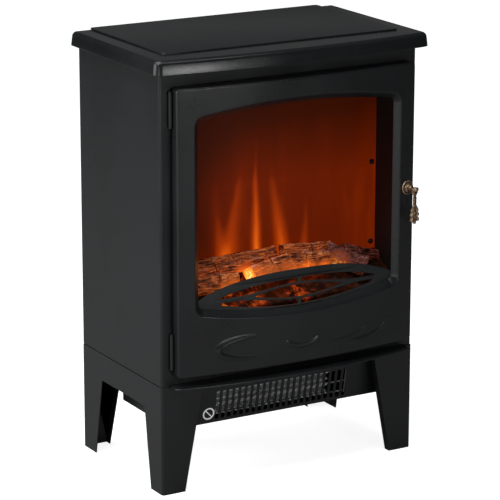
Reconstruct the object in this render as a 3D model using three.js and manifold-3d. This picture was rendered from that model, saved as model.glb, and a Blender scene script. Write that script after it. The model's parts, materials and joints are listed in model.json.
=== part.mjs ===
// A freestanding electric stove: a painted sheet-steel cabinet on two leg frames, a hinged bowed door
// with a cast grate, a lit log bed in front of a flame screen, and a fan heater under the cabinet.
// Millimetres, +Z up, front towards -Y. The pieces are laid out about the cabinet's middle, and the
// whole stove is then moved back so that its footprint is centred on the origin.
import * as THREE from "three";
import { mergeVertices } from "three/addons/utils/BufferGeometryUtils.js";
import Module from "manifold-3d";

const wasm = await Module();
wasm.setup();

// ---- Driving dimensions ----
const GAP = 0.3; // left between pieces that rest on each other
const SHEET = 1.5; // cabinet, legs and panels
const CABINET = { halfWidth: 200, halfDepth: 117, bottom: 153.5, top: 583.2, corner: 4, flange: 14 };
const SLAB = { halfWidth: 213.3, front: -132, back: 121, bow: 15, thickness: 19.4, corner: 12, round: 6 };
const TOP_PLATE = { halfWidth: 183, front: -97, back: 118, thickness: 2, corner: 5 };
const HEARTH = { halfWidth: 187, front: -137, back: 112, bow: 20, thickness: 3, corner: 9, round: 0.9 };
const LEG = { halfWidth: 200.6, front: -118.5, back: 116.5, topEdge: 136, footEdge: 165, inset: 11 };
const SIDE_ARCH = { z: 114.5, topFront: -68, topBack: 59, footFront: -85, footBack: 81 };
const DOOR = { x: 3, halfWidth: 186, bottom: 167, top: 564, corner: 6, back: -119.4, front: -133, bow: 15 };
const WINDOW = { halfWidth: 161, bottom: 238, top: 538.5, arch: 6.2e-4, corner: 15, bevel: 8 };
const DOOR_SHEET = 1.6;
const FIRE_MOUTH = { halfWidth: 169, bottom: 236, top: 546, corner: 6 };
const VENTS = { rows: [230, 242, 254, 520, 532, 544], lefts: [-110, -30, 50], width: 60, height: 5 };
const CORD = { x: 150, z: 190, bore: 4, neck: 9, clearance: 0.4, flange: 11 };
const GRATE = { halfWidth: 156, top: 297.3, fall: 26.7, middle: 267, rim: 12, setBack: 9.2, thickness: 4 };
const HINGE = { x: -186, y: -120.5, knuckle: 2.4, pin: 1.2, height: 48, lower: 178, upper: 510 };
const HANDLE = { x: 177, z: 389, reach: 16.4, rosette: 10, drop: 49, ears: 4.6, crossbar: 1.2 };
const MAGNET = { left: 171, right: 180, front: -127, back: -117.3, bottom: 300, top: 330 };
const STRIKE = { left: 169, right: 180, front: -132.1, back: -127.4, bottom: 303, top: 327 };
const FIREBOX = { halfWidth: 183, bottom: 224, top: 545, front: -115.2, back: 40 };
const SCREEN = { y: -47, thickness: 3, halfWidth: 182, bottom: 227, top: 541, clipX: 174, clipZ: [292, 408] };
const BED = { halfWidth: 178, front: -112, back: -50.5, bottom: 229, shell: 2.5 };
const LAMPS = { halfWidth: 150, front: -92, back: -76, lift: 3, thickness: 1.6 };
const ROTOR = { y: 8, z: 266, radius: 15, left: -140, right: 128, shaft: 2, fins: 12, pitch: 20, plate: 1.2 };
const BOX = { halfWidth: 170, bottom: 82, top: 151.2, frontBottom: -90, back: 55, lean: 10.6 };
const SLOTS = { count: 22, pitch: 9.73, width: 5.8, bottom: 87, top: 129.5 };
const WIRES = { halfWidth: 112, shares: [0.12, 0.57, 0.94], behind: 8, radius: 1 };
const BADGE = { x: -115.5, z: 97, inner: 7, outer: 9, thickness: 0.3 };
const BUMPER = { x: 84, y: -85, bottom: 77, radius: 2.8 };
const FAN = { y: -12, z: 116, radius: 24, left: -104, right: 84, shaft: 3, blades: 12, disc: 2 };
const ELEMENT = { left: -104, right: 84, bottom: 86, top: 132, front: 22, back: 36, pitch: 11.5, gap: 9 };
const CUTOUT = { x: -140, y: -40, radius: 8, bottom: 84.2, top: 92 };
const PANEL = { left: 26, right: 154, bottom: 178, top: 230 };
const SWITCH = { xs: [44, 68, 92], z: 204, width: 13, height: 21, pivotY: -114.6, tilt: 8 };
const KNOB = { x: 130, z: 204, radius: 15, shaft: 3 };
const CONTROL_CUT = { left: 32, right: 148, bottom: 184, top: 224 };

// ---- Materials ----
const paint = () => new THREE.MeshStandardMaterial({ color: 0x1b1c1e, roughness: 0.5, metalness: 0.2 });
const castIron = () => new THREE.MeshStandardMaterial({ color: 0x1f2122, roughness: 0.6, metalness: 0.3 });
const steel = () => new THREE.MeshStandardMaterial({ color: 0xb4b6b8, roughness: 0.35, metalness: 0.9 });
const bronze = () => new THREE.MeshStandardMaterial({ color: 0x6f5640, roughness: 0.35, metalness: 0.9 });
const plastic = () => new THREE.MeshStandardMaterial({ color: 0x141414, roughness: 0.45 });
const rubber = () => new THREE.MeshStandardMaterial({ color: 0x101010, roughness: 0.8 });
const resin = () => new THREE.MeshStandardMaterial({ color: 0x4a2416, roughness: 0.8 });
const ember = () => new THREE.MeshStandardMaterial({ color: 0xd2480c, roughness: 0.5, emissive: 0xa83000 });
const flame = () => new THREE.MeshStandardMaterial({ color: 0x5f1c00, roughness: 0.4, emissive: 0x401000 });
const board = () => new THREE.MeshStandardMaterial({ color: 0xd8dcd6, roughness: 0.5 });
const label = () => new THREE.MeshStandardMaterial({ color: 0xd9d9d6, roughness: 0.6 });

// ---- Solids: joining and cutting ----
function solid(geometry) {
  const bare = geometry.index ? geometry.toNonIndexed() : geometry.clone();
  bare.deleteAttribute("normal");
  bare.deleteAttribute("uv");
  const merged = mergeVertices(bare, 1e-4);
  return new wasm.Manifold(
    new wasm.Mesh({
      numProp: 3,
      vertProperties: merged.attributes.position.array,
      triVerts: new Uint32Array(merged.index.array),
    }),
  );
}

function geometryOf(made) {
  const { vertProperties, triVerts } = made.getMesh();
  const geometry = new THREE.BufferGeometry();
  geometry.setAttribute("position", new THREE.BufferAttribute(vertProperties, 3));
  geometry.setIndex(new THREE.BufferAttribute(triVerts, 1));
  geometry.computeVertexNormals();
  return geometry;
}

const join = (...pieces) => geometryOf(pieces.map(solid).reduce((a, b) => a.add(b)));
const cut = (piece, ...tools) => geometryOf(tools.map(solid).reduce((a, b) => a.subtract(b), solid(piece)));
const overlap = (a, b) => geometryOf(solid(a).intersect(solid(b)));

// ---- Geometry helpers ----
const box = (x0, x1, y0, y1, z0, z1) =>
  new THREE.BoxGeometry(x1 - x0, y1 - y0, z1 - z0).translate((x0 + x1) / 2, (y0 + y1) / 2, (z0 + z1) / 2);

const block = ({ left, right, front, back, bottom, top }) => box(left, right, front, back, bottom, top);

const polygon = (points) => new THREE.Shape(points.map(([x, y]) => new THREE.Vector2(x, y)));

// A plan outline raised from z0 to z1.
const raised = (shape, z0, z1, options = {}) =>
  new THREE.ExtrudeGeometry(shape, { depth: z1 - z0, bevelEnabled: false, ...options }).translate(0, 0, z0);

// A front-view outline (x, z) pushed from y1 forward to y0.
const pushed = (shape, y0, y1, options = {}) =>
  new THREE.ExtrudeGeometry(shape, { depth: y1 - y0, bevelEnabled: false, ...options })
    .rotateX(Math.PI / 2)
    .translate(0, y1, 0);

// A side-view outline (y, z) drawn out from x0 to x1.
const SIDE_VIEW = new THREE.Matrix4().makeBasis(
  new THREE.Vector3(0, 1, 0),
  new THREE.Vector3(0, 0, 1),
  new THREE.Vector3(1, 0, 0),
);
const drawn = (shape, x0, x1) =>
  new THREE.ExtrudeGeometry(shape, { depth: x1 - x0, bevelEnabled: false })
    .applyMatrix4(SIDE_VIEW)
    .translate(x0, 0, 0);

// A turned solid about the X axis, the Y axis (profile heights run towards the front) or the Z axis.
const turned = (profile, sides = 24) =>
  new THREE.LatheGeometry(profile.map(([r, h]) => new THREE.Vector2(r, h)), sides);
const turnedX = (profile, y, z, sides) => turned(profile, sides).rotateZ(-Math.PI / 2).translate(0, y, z);
const turnedFront = (profile, x, z, sides) => turned(profile, sides).rotateX(Math.PI).translate(x, 0, z);
const turnedZ = (profile, x, y, sides) => turned(profile, sides).rotateX(Math.PI / 2).translate(x, y, 0);
const rod = (r, h0, h1) => [[0, h0], [r, h0], [r, h1], [0, h1]];
const tube = (r0, r1, h0, h1) => [[r0, h0], [r1, h0], [r1, h1], [r0, h1], [r0, h0]];

// A plan outline with a bowed front edge: the front stands `bow` further out in the middle than at its ends.
function bowedPlan({ halfWidth, front, back, bow = 0, corner }, backCorner = corner) {
  const shoulder = halfWidth - corner;
  const rise = bow * (1 - (shoulder / halfWidth) ** 2);
  const plan = new THREE.Shape();
  plan.moveTo(-shoulder, front - rise);
  plan.quadraticCurveTo(0, front + rise - 2 * bow, shoulder, front - rise);
  plan.quadraticCurveTo(halfWidth, front, halfWidth, front + corner);
  plan.lineTo(halfWidth, back - backCorner);
  plan.quadraticCurveTo(halfWidth, back, halfWidth - backCorner, back);
  plan.lineTo(backCorner - halfWidth, back);
  plan.quadraticCurveTo(-halfWidth, back, -halfWidth, back - backCorner);
  plan.lineTo(-halfWidth, front + corner);
  plan.quadraticCurveTo(-halfWidth, front, -shoulder, front - rise);
  return plan;
}

// Points round a four-sided opening or panel with rounded corners, whose top and bottom may be arched.
function roundedLoop({ halfWidth, bottom, top, arch = 0, corner }, along = 12, around = 4) {
  const shoulder = halfWidth - corner;
  const fall = arch * shoulder ** 2;
  const points = [];
  const edge = (x0, x1, level, sign) => {
    for (let i = 0; i < along; i += 1) {
      const x = x0 + ((x1 - x0) * i) / along;
      points.push([x, level + sign * arch * x * x]);
    }
  };
  const bend = (x, z, turnFrom) => {
    for (let i = 0; i < around; i += 1) {
      const angle = turnFrom - (Math.PI / 2) * (i / around);
      points.push([x + corner * Math.cos(angle), z + corner * Math.sin(angle)]);
    }
  };
  edge(-shoulder, shoulder, top, -1);
  bend(shoulder, top - fall - corner, Math.PI / 2);
  points.push([halfWidth, top - fall - corner]);
  bend(shoulder, bottom + fall + corner, 0);
  edge(shoulder, -shoulder, bottom, 1);
  bend(-shoulder, bottom + fall + corner, -Math.PI / 2);
  points.push([-halfWidth, bottom + fall + corner]);
  bend(-shoulder, top - fall - corner, -Math.PI);
  return points;
}

// A closed ring skinned over loops of points: the last loop joins the first again.
function ringOver(loops) {
  const count = loops[0].length;
  const indices = [];
  loops.forEach((_, k) => {
    const here = k * count;
    const next = ((k + 1) % loops.length) * count;
    for (let i = 0; i < count; i += 1) {
      const j = (i + 1) % count;
      indices.push(here + i, next + i, next + j, here + i, next + j, here + j);
    }
  });
  const ring = new THREE.BufferGeometry();
  ring.setAttribute("position", new THREE.Float32BufferAttribute(loops.flat(2), 3));
  ring.setIndex(indices);
  return ring;
}

// How far the door's face stands in front of its ends at x.
const doorBow = (x) => DOOR.bow * (1 - ((x - DOOR.x) / DOOR.halfWidth) ** 2);

// ---- The stove ----
const stove = new THREE.Group();
const frontReach = HEARTH.bow - HEARTH.front;
stove.position.y = (frontReach - SLAB.back) / 2;

function add(name, geometry, material, parent = stove) {
  const mesh = new THREE.Mesh(geometry, material);
  mesh.name = name;
  parent.add(mesh);
  return mesh;
}

function makeTop() {
  const bottom = CABINET.top;
  const top = bottom + SLAB.thickness;
  const rounded = raised(bowedPlan(SLAB, 9), bottom - SLAB.round, top - SLAB.round, {
    bevelEnabled: true,
    bevelThickness: SLAB.round,
    bevelSize: SLAB.round,
    bevelOffset: -SLAB.round,
    bevelSegments: 3,
    curveSegments: 14,
  });
  const body = overlap(rounded, box(-250, 250, -180, 180, bottom, top));
  const pocket = box(-196, 196, -113, 113, bottom - 1, top - 2);
  add("top_slab", cut(body, pocket), paint());
  const foot = top + GAP;
  const plate = raised(bowedPlan(TOP_PLATE), foot, foot + TOP_PLATE.thickness, { curveSegments: 4 });
  add("top_plate", plate, paint());
}

// One bent sheet seen from above: rear flange, left side, front, right side, rear flange.
function bentPlan(halfWidth, front, back, corner, flange) {
  const inner = halfWidth - SHEET;
  const plan = new THREE.Shape();
  plan.moveTo(-halfWidth + flange, back);
  plan.lineTo(-halfWidth, back);
  plan.lineTo(-halfWidth, front + corner);
  plan.absarc(-halfWidth + corner, front + corner, corner, Math.PI, 1.5 * Math.PI);
  plan.lineTo(halfWidth - corner, front);
  plan.absarc(halfWidth - corner, front + corner, corner, 1.5 * Math.PI, 2 * Math.PI);
  plan.lineTo(halfWidth, back);
  plan.lineTo(halfWidth - flange, back);
  plan.lineTo(halfWidth - flange, back - SHEET);
  plan.lineTo(inner, back - SHEET);
  plan.lineTo(inner, front + corner);
  plan.absarc(halfWidth - corner, front + corner, corner - SHEET, 2 * Math.PI, 1.5 * Math.PI, true);
  plan.lineTo(-halfWidth + corner, front + SHEET);
  plan.absarc(-halfWidth + corner, front + corner, corner - SHEET, 1.5 * Math.PI, Math.PI, true);
  plan.lineTo(-inner, back - SHEET);
  plan.lineTo(-halfWidth + flange, back - SHEET);
  return plan;
}

// The slit in the seam between cabinet and legs that the hearth plate's lip comes out of.
const lipSlit = () =>
  box(-HEARTH.halfWidth - 1, HEARTH.halfWidth + 1, -140, -100, CABINET.bottom - 2, CABINET.bottom + 2);

function makeCabinet() {
  const { halfWidth, halfDepth, bottom, top, corner, flange } = CABINET;
  const plan = bentPlan(halfWidth, -halfDepth, halfDepth, corner, flange);
  const wrap = raised(plan, bottom + GAP, top - GAP, { curveSegments: 4 });
  const fireOpening = pushed(polygon(roundedLoop(FIRE_MOUTH, 1, 3)), -150, -100).translate(DOOR.x, 0, 0);
  const { left, right } = CONTROL_CUT;
  const controlOpening = box(left, right, -150, -100, CONTROL_CUT.bottom, CONTROL_CUT.top);
  add("cabinet_shell", cut(wrap, fireOpening, controlOpening, lipSlit()), paint());

  const panelFront = halfDepth + GAP;
  const panelBack = panelFront + SHEET;
  const back = box(-halfWidth + 1, halfWidth - 1, panelFront, panelBack, bottom + 3, top - 2 * GAP);
  const vents = VENTS.rows.flatMap((z) =>
    VENTS.lefts.map((x) => box(x, x + VENTS.width, panelFront - 5, panelBack + 5, z, z + VENTS.height)),
  );
  const cordHole = turnedFront(rod(CORD.neck + CORD.clearance, -130, -110), CORD.x, CORD.z, 16);
  add("back_panel", cut(back, ...vents, cordHole), paint());
  const flangeBack = -panelBack - GAP - 1.8;
  const gland = join(
    turnedFront(tube(CORD.bore, CORD.neck, flangeBack + 1, -110), CORD.x, CORD.z, 16),
    turnedFront(tube(CORD.bore, CORD.flange, flangeBack, -panelBack - GAP), CORD.x, CORD.z, 16),
  );
  add("cord_bushing", gland, rubber());
}

function makeHearth() {
  const { thickness, round } = HEARTH;
  const bottom = CABINET.bottom - thickness / 2;
  const plate = raised(bowedPlan(HEARTH, 3), bottom + round, bottom + thickness - round, {
    bevelEnabled: true,
    bevelThickness: round,
    bevelSize: round,
    bevelOffset: -round,
    bevelSegments: 1,
    curveSegments: 14,
  });
  add("hearth_plate", plate, paint());
}

// A leg frame: side plate with front and rear flanges, cut away between its two legs.
function makeLegFrame(name, side) {
  const { halfWidth, front, back, topEdge, footEdge, inset } = LEG;
  const top = CABINET.bottom - GAP;
  const plan = bentPlan(halfWidth, front, back, CABINET.corner, halfWidth - topEdge);
  const wrap = raised(plan, 0, top, { curveSegments: 4 });
  const slope = (footEdge - topEdge) / CABINET.bottom;
  const edgeAt = (z) => footEdge - slope * z;
  const between = polygon([
    [-edgeAt(-1), -1],
    [edgeAt(-1), -1],
    [edgeAt(160), 160],
    [-edgeAt(160), 160],
  ]);
  const sideArch = polygon([
    [SIDE_ARCH.footFront - 0.2, -1],
    [SIDE_ARCH.footBack + 0.2, -1],
    [SIDE_ARCH.topBack, SIDE_ARCH.z],
    [SIDE_ARCH.topFront, SIDE_ARCH.z],
  ]);
  const half = side < 0 ? box(0, 250, -200, 200, -5, 200) : box(-250, 0, -200, 200, -5, 200);
  const bent = cut(wrap, pushed(between, -200, 200), drawn(sideArch, -250, 250), half);
  const returnStrip = polygon([
    [side * edgeAt(0), 0],
    [side * (edgeAt(0) + SHEET), 0],
    [side * (edgeAt(top - 3) + SHEET), top - 3],
    [side * edgeAt(top - 3), top - 3],
  ]);
  const frontReturn = pushed(returnStrip, front + 0.5, front + inset);
  const rearReturn = pushed(returnStrip, back - inset, back - 0.5);
  const rail = box(side < 0 ? -199.5 : 184, side < 0 ? -184 : 199.5, -100, 100, top - 3, top - 1.5);
  add(name, cut(join(bent, frontReturn, rearReturn, rail), lipSlit()), paint());
}

// A loop laid on the bowed face, `depth` behind it, or on a flat plane at y.
const bowed = (points, depth) =>
  points.map(([x, z]) => [x + DOOR.x, DOOR.front + depth - doorBow(x + DOOR.x), z]);
const flatBack = (points, y) => points.map(([x, z]) => [x + DOOR.x, y, z]);
const inset = (outline, by) => ({
  ...outline,
  halfWidth: outline.halfWidth - by,
  bottom: outline.bottom + by,
  top: outline.top - by,
  corner: Math.max(outline.corner - by, 1),
});

function makeDoor() {
  const outer = roundedLoop(DOOR);
  const inner = roundedLoop(inset(DOOR, DOOR_SHEET));
  const lip = roundedLoop(WINDOW);
  const lipBack = roundedLoop(inset(WINDOW, WINDOW.bevel));
  const lipBehind = roundedLoop(inset(WINDOW, -1));
  const shell = ringOver([
    flatBack(outer, DOOR.back),
    bowed(outer, 0),
    bowed(lip, 0),
    bowed(lipBack, WINDOW.bevel),
    bowed(lipBack, WINDOW.bevel + 1),
    bowed(lipBehind, DOOR_SHEET + 0.8),
    bowed(inner, DOOR_SHEET),
    flatBack(inner, DOOR.back),
  ]);
  add("door_shell", shell, paint());
}

// The grate's outlines, each the height of an edge at x from the door's middle line.
const grateTop = (x) => GRATE.top - GRATE.fall * (Math.abs(x) / 154) ** 2.65;
const grateFoot = (x) => WINDOW.bottom + WINDOW.bevel - 2.4 + WINDOW.arch * x * x;
const ringHalf = (x) => 2.7 + (Math.abs(x) < 105 ? 9.2 * Math.cos((Math.PI * x) / 210) ** 2 : 0);
const eyeHalf = (x) => 8.8 * (1 - (x / 70) ** 2);

// A closed outline between a lower and an upper curve, from x0 to x1.
function between(x0, x1, lower, upper, steps) {
  const points = [];
  for (let i = 0; i <= steps; i += 1) {
    const x = x0 + ((x1 - x0) * i) / steps;
    points.push([x, lower(x)]);
  }
  for (let i = steps; i >= 0; i -= 1) {
    const x = x0 + ((x1 - x0) * i) / steps;
    points.push([x, upper(x)]);
  }
  return points;
}

function makeGrate() {
  const { middle, rim, halfWidth, thickness } = GRATE;
  const shape = polygon(between(-halfWidth, halfWidth, (x) => grateFoot(x) - 1, grateTop, 20));
  const topSlot = (x0, x1) => between(x0, x1, (x) => middle + ringHalf(x), (x) => grateTop(x) - rim, 8);
  const lowRim = (x) => grateFoot(x) + 4.6 + 4 * (x / 127) ** 2;
  const lowSlot = (x0, x1) => between(x0, x1, lowRim, (x) => middle - ringHalf(x), 8);
  const eye = between(-69, 69, (x) => middle - eyeHalf(x), (x) => middle + eyeHalf(x), 12);
  const slots = [topSlot(-124, -3), topSlot(3, 124), lowSlot(-120, -3), lowSlot(3, 120), eye];
  shape.holes = slots.map((points) => new THREE.Path(points.map(([x, z]) => new THREE.Vector2(x, z))));
  const flat = pushed(shape, 0, thickness);
  const position = flat.attributes.position;
  for (let i = 0; i < position.count; i += 1) {
    const x = position.getX(i) + DOOR.x;
    const y = position.getY(i) + DOOR.front + GRATE.setBack - doorBow(x);
    position.setXYZ(i, x, y, position.getZ(i));
  }
  add("door_grate", flat, castIron());
}

function makeHinge(place, z0) {
  const { x, y, knuckle, pin, height } = HINGE;
  const middle = z0 + height / 2;
  const barrel = (a, b) => turnedZ(tube(pin + 0.1, knuckle, a, b), x, y, 16);
  const room = (a, b) => turnedZ(rod(pin + 0.1, a, b), x, y, 16);
  const leafBack = y + knuckle + 0.3;
  const cabinetPlate = box(x, x + 16, leafBack - 1, leafBack, z0, middle - GAP);
  const cabinetLeaf = cut(join(barrel(z0, middle - GAP), cabinetPlate), room(z0 - 1, middle + 1));
  add(`hinge_${place}_cabinet_leaf`, cabinetLeaf, paint());
  const doorPlate = box(x, -180.1, leafBack - 1, leafBack, middle, z0 + height);
  const doorFlap = box(-181.1, -180.1, -129, leafBack, middle, z0 + height);
  const knuckled = join(barrel(middle, z0 + height), doorPlate, doorFlap);
  add(`hinge_${place}_door_leaf`, cut(knuckled, room(middle - 1, z0 + height + 1)), paint());
  const head = z0 + height + GAP;
  const profile = [[0, z0], [pin, z0], [pin, head], [2, head], [2, head + 1.2], [0, head + 1.2]];
  add(`hinge_${place}_pin`, turnedZ(profile, x, y, 12), steel());
}

function makeCatch() {
  add("door_catch_magnet", block(MAGNET), plastic());
  add("door_catch_strike", block(STRIKE), steel());
}

function makeHandle() {
  const slope = Math.atan((2 * DOOR.bow * (HANDLE.x - DOOR.x)) / DOOR.halfWidth ** 2);
  const handle = new THREE.Group();
  handle.position.set(HANDLE.x, DOOR.front - doorBow(HANDLE.x), HANDLE.z);
  handle.rotation.z = slope;
  stove.add(handle);
  const { reach, rosette, drop, ears, crossbar } = HANDLE;
  const rose = tube(2.2, rosette, 0.5, 1.6).slice(0, 3);
  rose.push([rosette - 1.2, 2.9], [rosette - 3.4, 3.3], [2.2, 3.3], [2.2, 0.5]);
  add("handle_rosette", turnedFront(rose, 0, 0, 28), bronze(), handle);
  const boss = [[0, 0.5], [1.9, 0.5], [1.9, 3.6], [5.6, 3.6], [6, 5], [4.6, 8], [2.6, 11.4]];
  boss.push([2.4, reach - 3.2], [0, reach - 3.2]);
  const ball = new THREE.SphereGeometry(3.4, 14, 10).translate(0, -reach + 0.4, 0);
  const across = (radius, length, x, sides) =>
    new THREE.CylinderGeometry(radius, radius, length, sides).rotateZ(Math.PI / 2).translate(x, -reach, 0);
  add("handle_post", join(turnedFront(boss, 0, 0, 20), ball, across(crossbar, 11, 0, 12)), bronze(), handle);
  const ear = (x) =>
    cut(
      join(across(2.6, 1.2, x, 14), box(x - 0.6, x + 0.6, -reach - 1.4, -reach + 1.4, -6.4, 0)),
      across(crossbar + 0.1, 3, x, 12),
    );
  const yoke = box(-5.2, 5.2, -reach - 1.6, -reach + 1.6, -6.6, -4.6);
  const leaf = [[0, -drop], [1.8, -drop + 1], [3.2, -drop + 4], [6.2, -drop + 9], [6, -drop + 14]];
  leaf.push([4.4, -drop + 20], [2.6, -26], [2.1, -16], [2.4, -8], [2.6, -5.4], [0, -5.4]);
  const tassel = turned(leaf, 16).scale(1, 1, 0.6).rotateX(Math.PI / 2).translate(0, -reach, 0);
  add("handle_pendant", join(ear(-ears), ear(ears), yoke, tassel), bronze(), handle);
}

function makeFirebox() {
  const { halfWidth, bottom, top, front, back } = FIREBOX;
  const wall = (side) => {
    const x = side * halfWidth;
    const [x0, x1] = side < 0 ? [x - 1, x] : [x, x + 1];
    return box(x0, x1, front, back, bottom + 1.4, top - GAP);
  };
  add("firebox_left_wall", wall(-1), paint());
  add("firebox_right_wall", wall(1), paint());
  add("firebox_top", box(-halfWidth - 4, halfWidth + 4, front, back, top, top + 1), paint());
  add("firebox_floor", box(-halfWidth - 4, halfWidth + 4, front, back, bottom, bottom + 1), paint());
}

function makeScreen() {
  const { y, thickness, halfWidth, bottom, top, clipX, clipZ } = SCREEN;
  add("flame_screen", box(-halfWidth, halfWidth, y, y + thickness, bottom, top), flame());
  for (const [place, z] of [["lower", clipZ[0]], ["upper", clipZ[1]]]) {
    for (const [side, sign] of [["left", -1], ["right", 1]]) {
      const head = [[0, -y + GAP], [4, -y + GAP], [4, -y + 2.2], [2.6, -y + 4], [0, -y + 4]];
      add(`screen_screw_${place}_${side}`, turnedFront(head, sign * clipX, z, 14), plastic());
    }
  }
}

// The moulded bed the logs lie on: a hollow mound that climbs towards the flame screen.
const bedProfile = (grow) => [
  [BED.front - grow, BED.bottom - grow],
  [BED.back + grow, BED.bottom - grow],
  [BED.back + grow, 284 + grow],
  [-74, 272 + grow],
  [-96, 256 + grow],
  [BED.front - grow, 247 + grow],
];

function makeBed() {
  const { halfWidth, shell, bottom } = BED;
  const outer = drawn(polygon(bedProfile(0)), -halfWidth, halfWidth);
  const hollow = drawn(polygon(bedProfile(-shell)), shell - halfWidth, halfWidth - shell);
  const inside = halfWidth - shell;
  const below = box(-inside, inside, BED.front + shell, BED.back - shell, bottom - 1, bottom + 4);
  add("ember_bed", cut(outer, hollow, below), ember());
  const foot = FIREBOX.bottom + LAMPS.lift;
  const plate = { left: -LAMPS.halfWidth, right: LAMPS.halfWidth, bottom: foot, top: foot + LAMPS.thickness };
  add("led_board", block({ ...LAMPS, ...plate }), board());
}

// The logs, from their left end to their right end. Each is kept clear of the bed and of the logs before it.
const LOGS = {
  log_front_left: { from: [-168, -94, 280], to: [-74, -97, 281], radius: 15 },
  log_front_centre: { from: [-52, -99, 284], to: [12, -90, 292], radius: 14 },
  log_middle_centre: { from: [16, -82, 293], to: [74, -84, 288], radius: 14 },
  log_right: { from: [88, -66, 293], to: [134, -98, 272], radius: 14 },
  log_back_centre: { from: [20, -60.5, 304], to: [92, -60.5, 297], radius: 9.5 },
  log_back_left: { from: [-170, -60.5, 294], to: [8, -60.5, 302], radius: 9.5 },
  log_middle_left: { from: [-172, -76, 292], to: [-66, -78, 292], radius: 9 },
  log_back_right: { from: [122, -61, 288], to: [172, -61, 272], radius: 10 },
};

function logAt({ from, to, radius }, grow, seed) {
  const start = new THREE.Vector3(...from);
  const along = new THREE.Vector3(...to).sub(start);
  const length = along.length();
  const profile = [[0, -grow], [radius * 0.82 + grow, -grow]];
  for (let i = 1; i < 5; i += 1) {
    const swell = 1 + 0.08 * Math.sin(seed * 2.1 + i * 1.7);
    profile.push([radius * swell + grow, (length * i) / 5]);
  }
  profile.push([radius * 0.85 + grow, length + grow], [0, length + grow]);
  const log = turned(profile, 10);
  const up = new THREE.Vector3(0, 1, 0);
  log.applyQuaternion(new THREE.Quaternion().setFromUnitVectors(up, along.normalize()));
  return log.translate(start.x, start.y, start.z);
}

function makeLogs() {
  const room = solid(drawn(polygon(bedProfile(GAP)), -190, 190));
  const screenFace = solid(box(-190, 190, SCREEN.y - 0.5, 0, 200, 400));
  let taken = room.add(screenFace);
  Object.entries(LOGS).forEach(([name, log], i) => {
    const shape = solid(logAt(log, 0, i)).subtract(taken);
    const largest = shape.decompose().reduce((a, b) => (a.volume() > b.volume() ? a : b));
    add(name, geometryOf(largest), resin());
    taken = taken.add(solid(logAt(log, 0.4, i)));
  });
}

// The rotor that throws moving light on the screen: a shaft with slanting bright fins.
function makeRotor() {
  const { y, z, radius, left, right, shaft, pitch, plate } = ROTOR;
  const fins = [];
  for (let i = 0; i < ROTOR.fins; i += 1) {
    const fin = new THREE.BoxGeometry(13, 0.8, 2 * radius).rotateY(0.35).rotateX(i * 1.05);
    fins.push(fin.translate(left + 24 + i * pitch, y, z));
  }
  const spindle = turnedX(rod(shaft, left - 5, right + 9), y, z, 16);
  add("flame_rotor", join(spindle, ...fins), steel());
  const foot = FIREBOX.bottom + 1 + GAP;
  const upright = (x) => box(x, x + plate, y - 12, y + 12, foot, z + 12);
  const floor = box(left - 3, right + 5 + plate, y - 12, y + 12, foot, foot + plate);
  const holes = turnedX(rod(shaft + 0.1, left - 10, right + 10), y, z, 16);
  add("rotor_bracket", cut(join(upright(left - 3), upright(right + 5), floor), holes), steel());
  const start = right + 5 + plate + GAP;
  const can = [[0, start], [20, start], [20, start + 18], [17, start + 22], [0, start + 22]];
  const bore = turnedX(rod(shaft + 0.1, start - 1, start + 6), y, z, 16);
  add("flame_motor", cut(turnedX(can, y, z, 20), bore), steel());
}

// The heater box under the cabinet: a tray closed above by the hearth plate and in front by the grille.
const leanAt = (z) => BOX.frontBottom - (z - BOX.bottom) * Math.tan(THREE.MathUtils.degToRad(BOX.lean));

function makeHeaterBox() {
  const { halfWidth, bottom, top, back } = BOX;
  const side = polygon([[leanAt(bottom), bottom], [back, bottom], [back, top], [leanAt(top), top]]);
  const inside = polygon([
    [leanAt(bottom) - 20, bottom + SHEET],
    [back - SHEET, bottom + SHEET],
    [back - SHEET, top + 5],
    [leanAt(top) - 20, top + 5],
  ]);
  const tray = cut(drawn(side, -halfWidth, halfWidth), drawn(inside, SHEET - halfWidth, halfWidth - SHEET));
  const inlets = [];
  for (let i = 0; i < 12; i += 1) {
    const x = -125 + i * 22;
    inlets.push(box(x, x + 12, back - 5, back + 5, 98, 134));
  }
  const endPlate = (x) => box(x, x + SHEET, FAN.y - 30, FAN.y + 30, bottom + 1, top - 2);
  const shaftHole = turnedX(rod(FAN.shaft + 0.1, FAN.left - 10, FAN.right + 10), FAN.y, FAN.z, 16);
  const plates = join(endPlate(FAN.left - 4), endPlate(FAN.right + 2.5));
  add("heater_housing", cut(join(tray, plates), shaftHole, ...inlets), paint());
}

// Lays a piece drawn upright against the heater box's leaning front, `behind` mm behind the grille's back.
function leaned(geometry, behind) {
  return geometry
    .translate(0, behind, -BOX.bottom)
    .rotateX(THREE.MathUtils.degToRad(BOX.lean))
    .translate(0, BOX.frontBottom, BOX.bottom);
}

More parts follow.
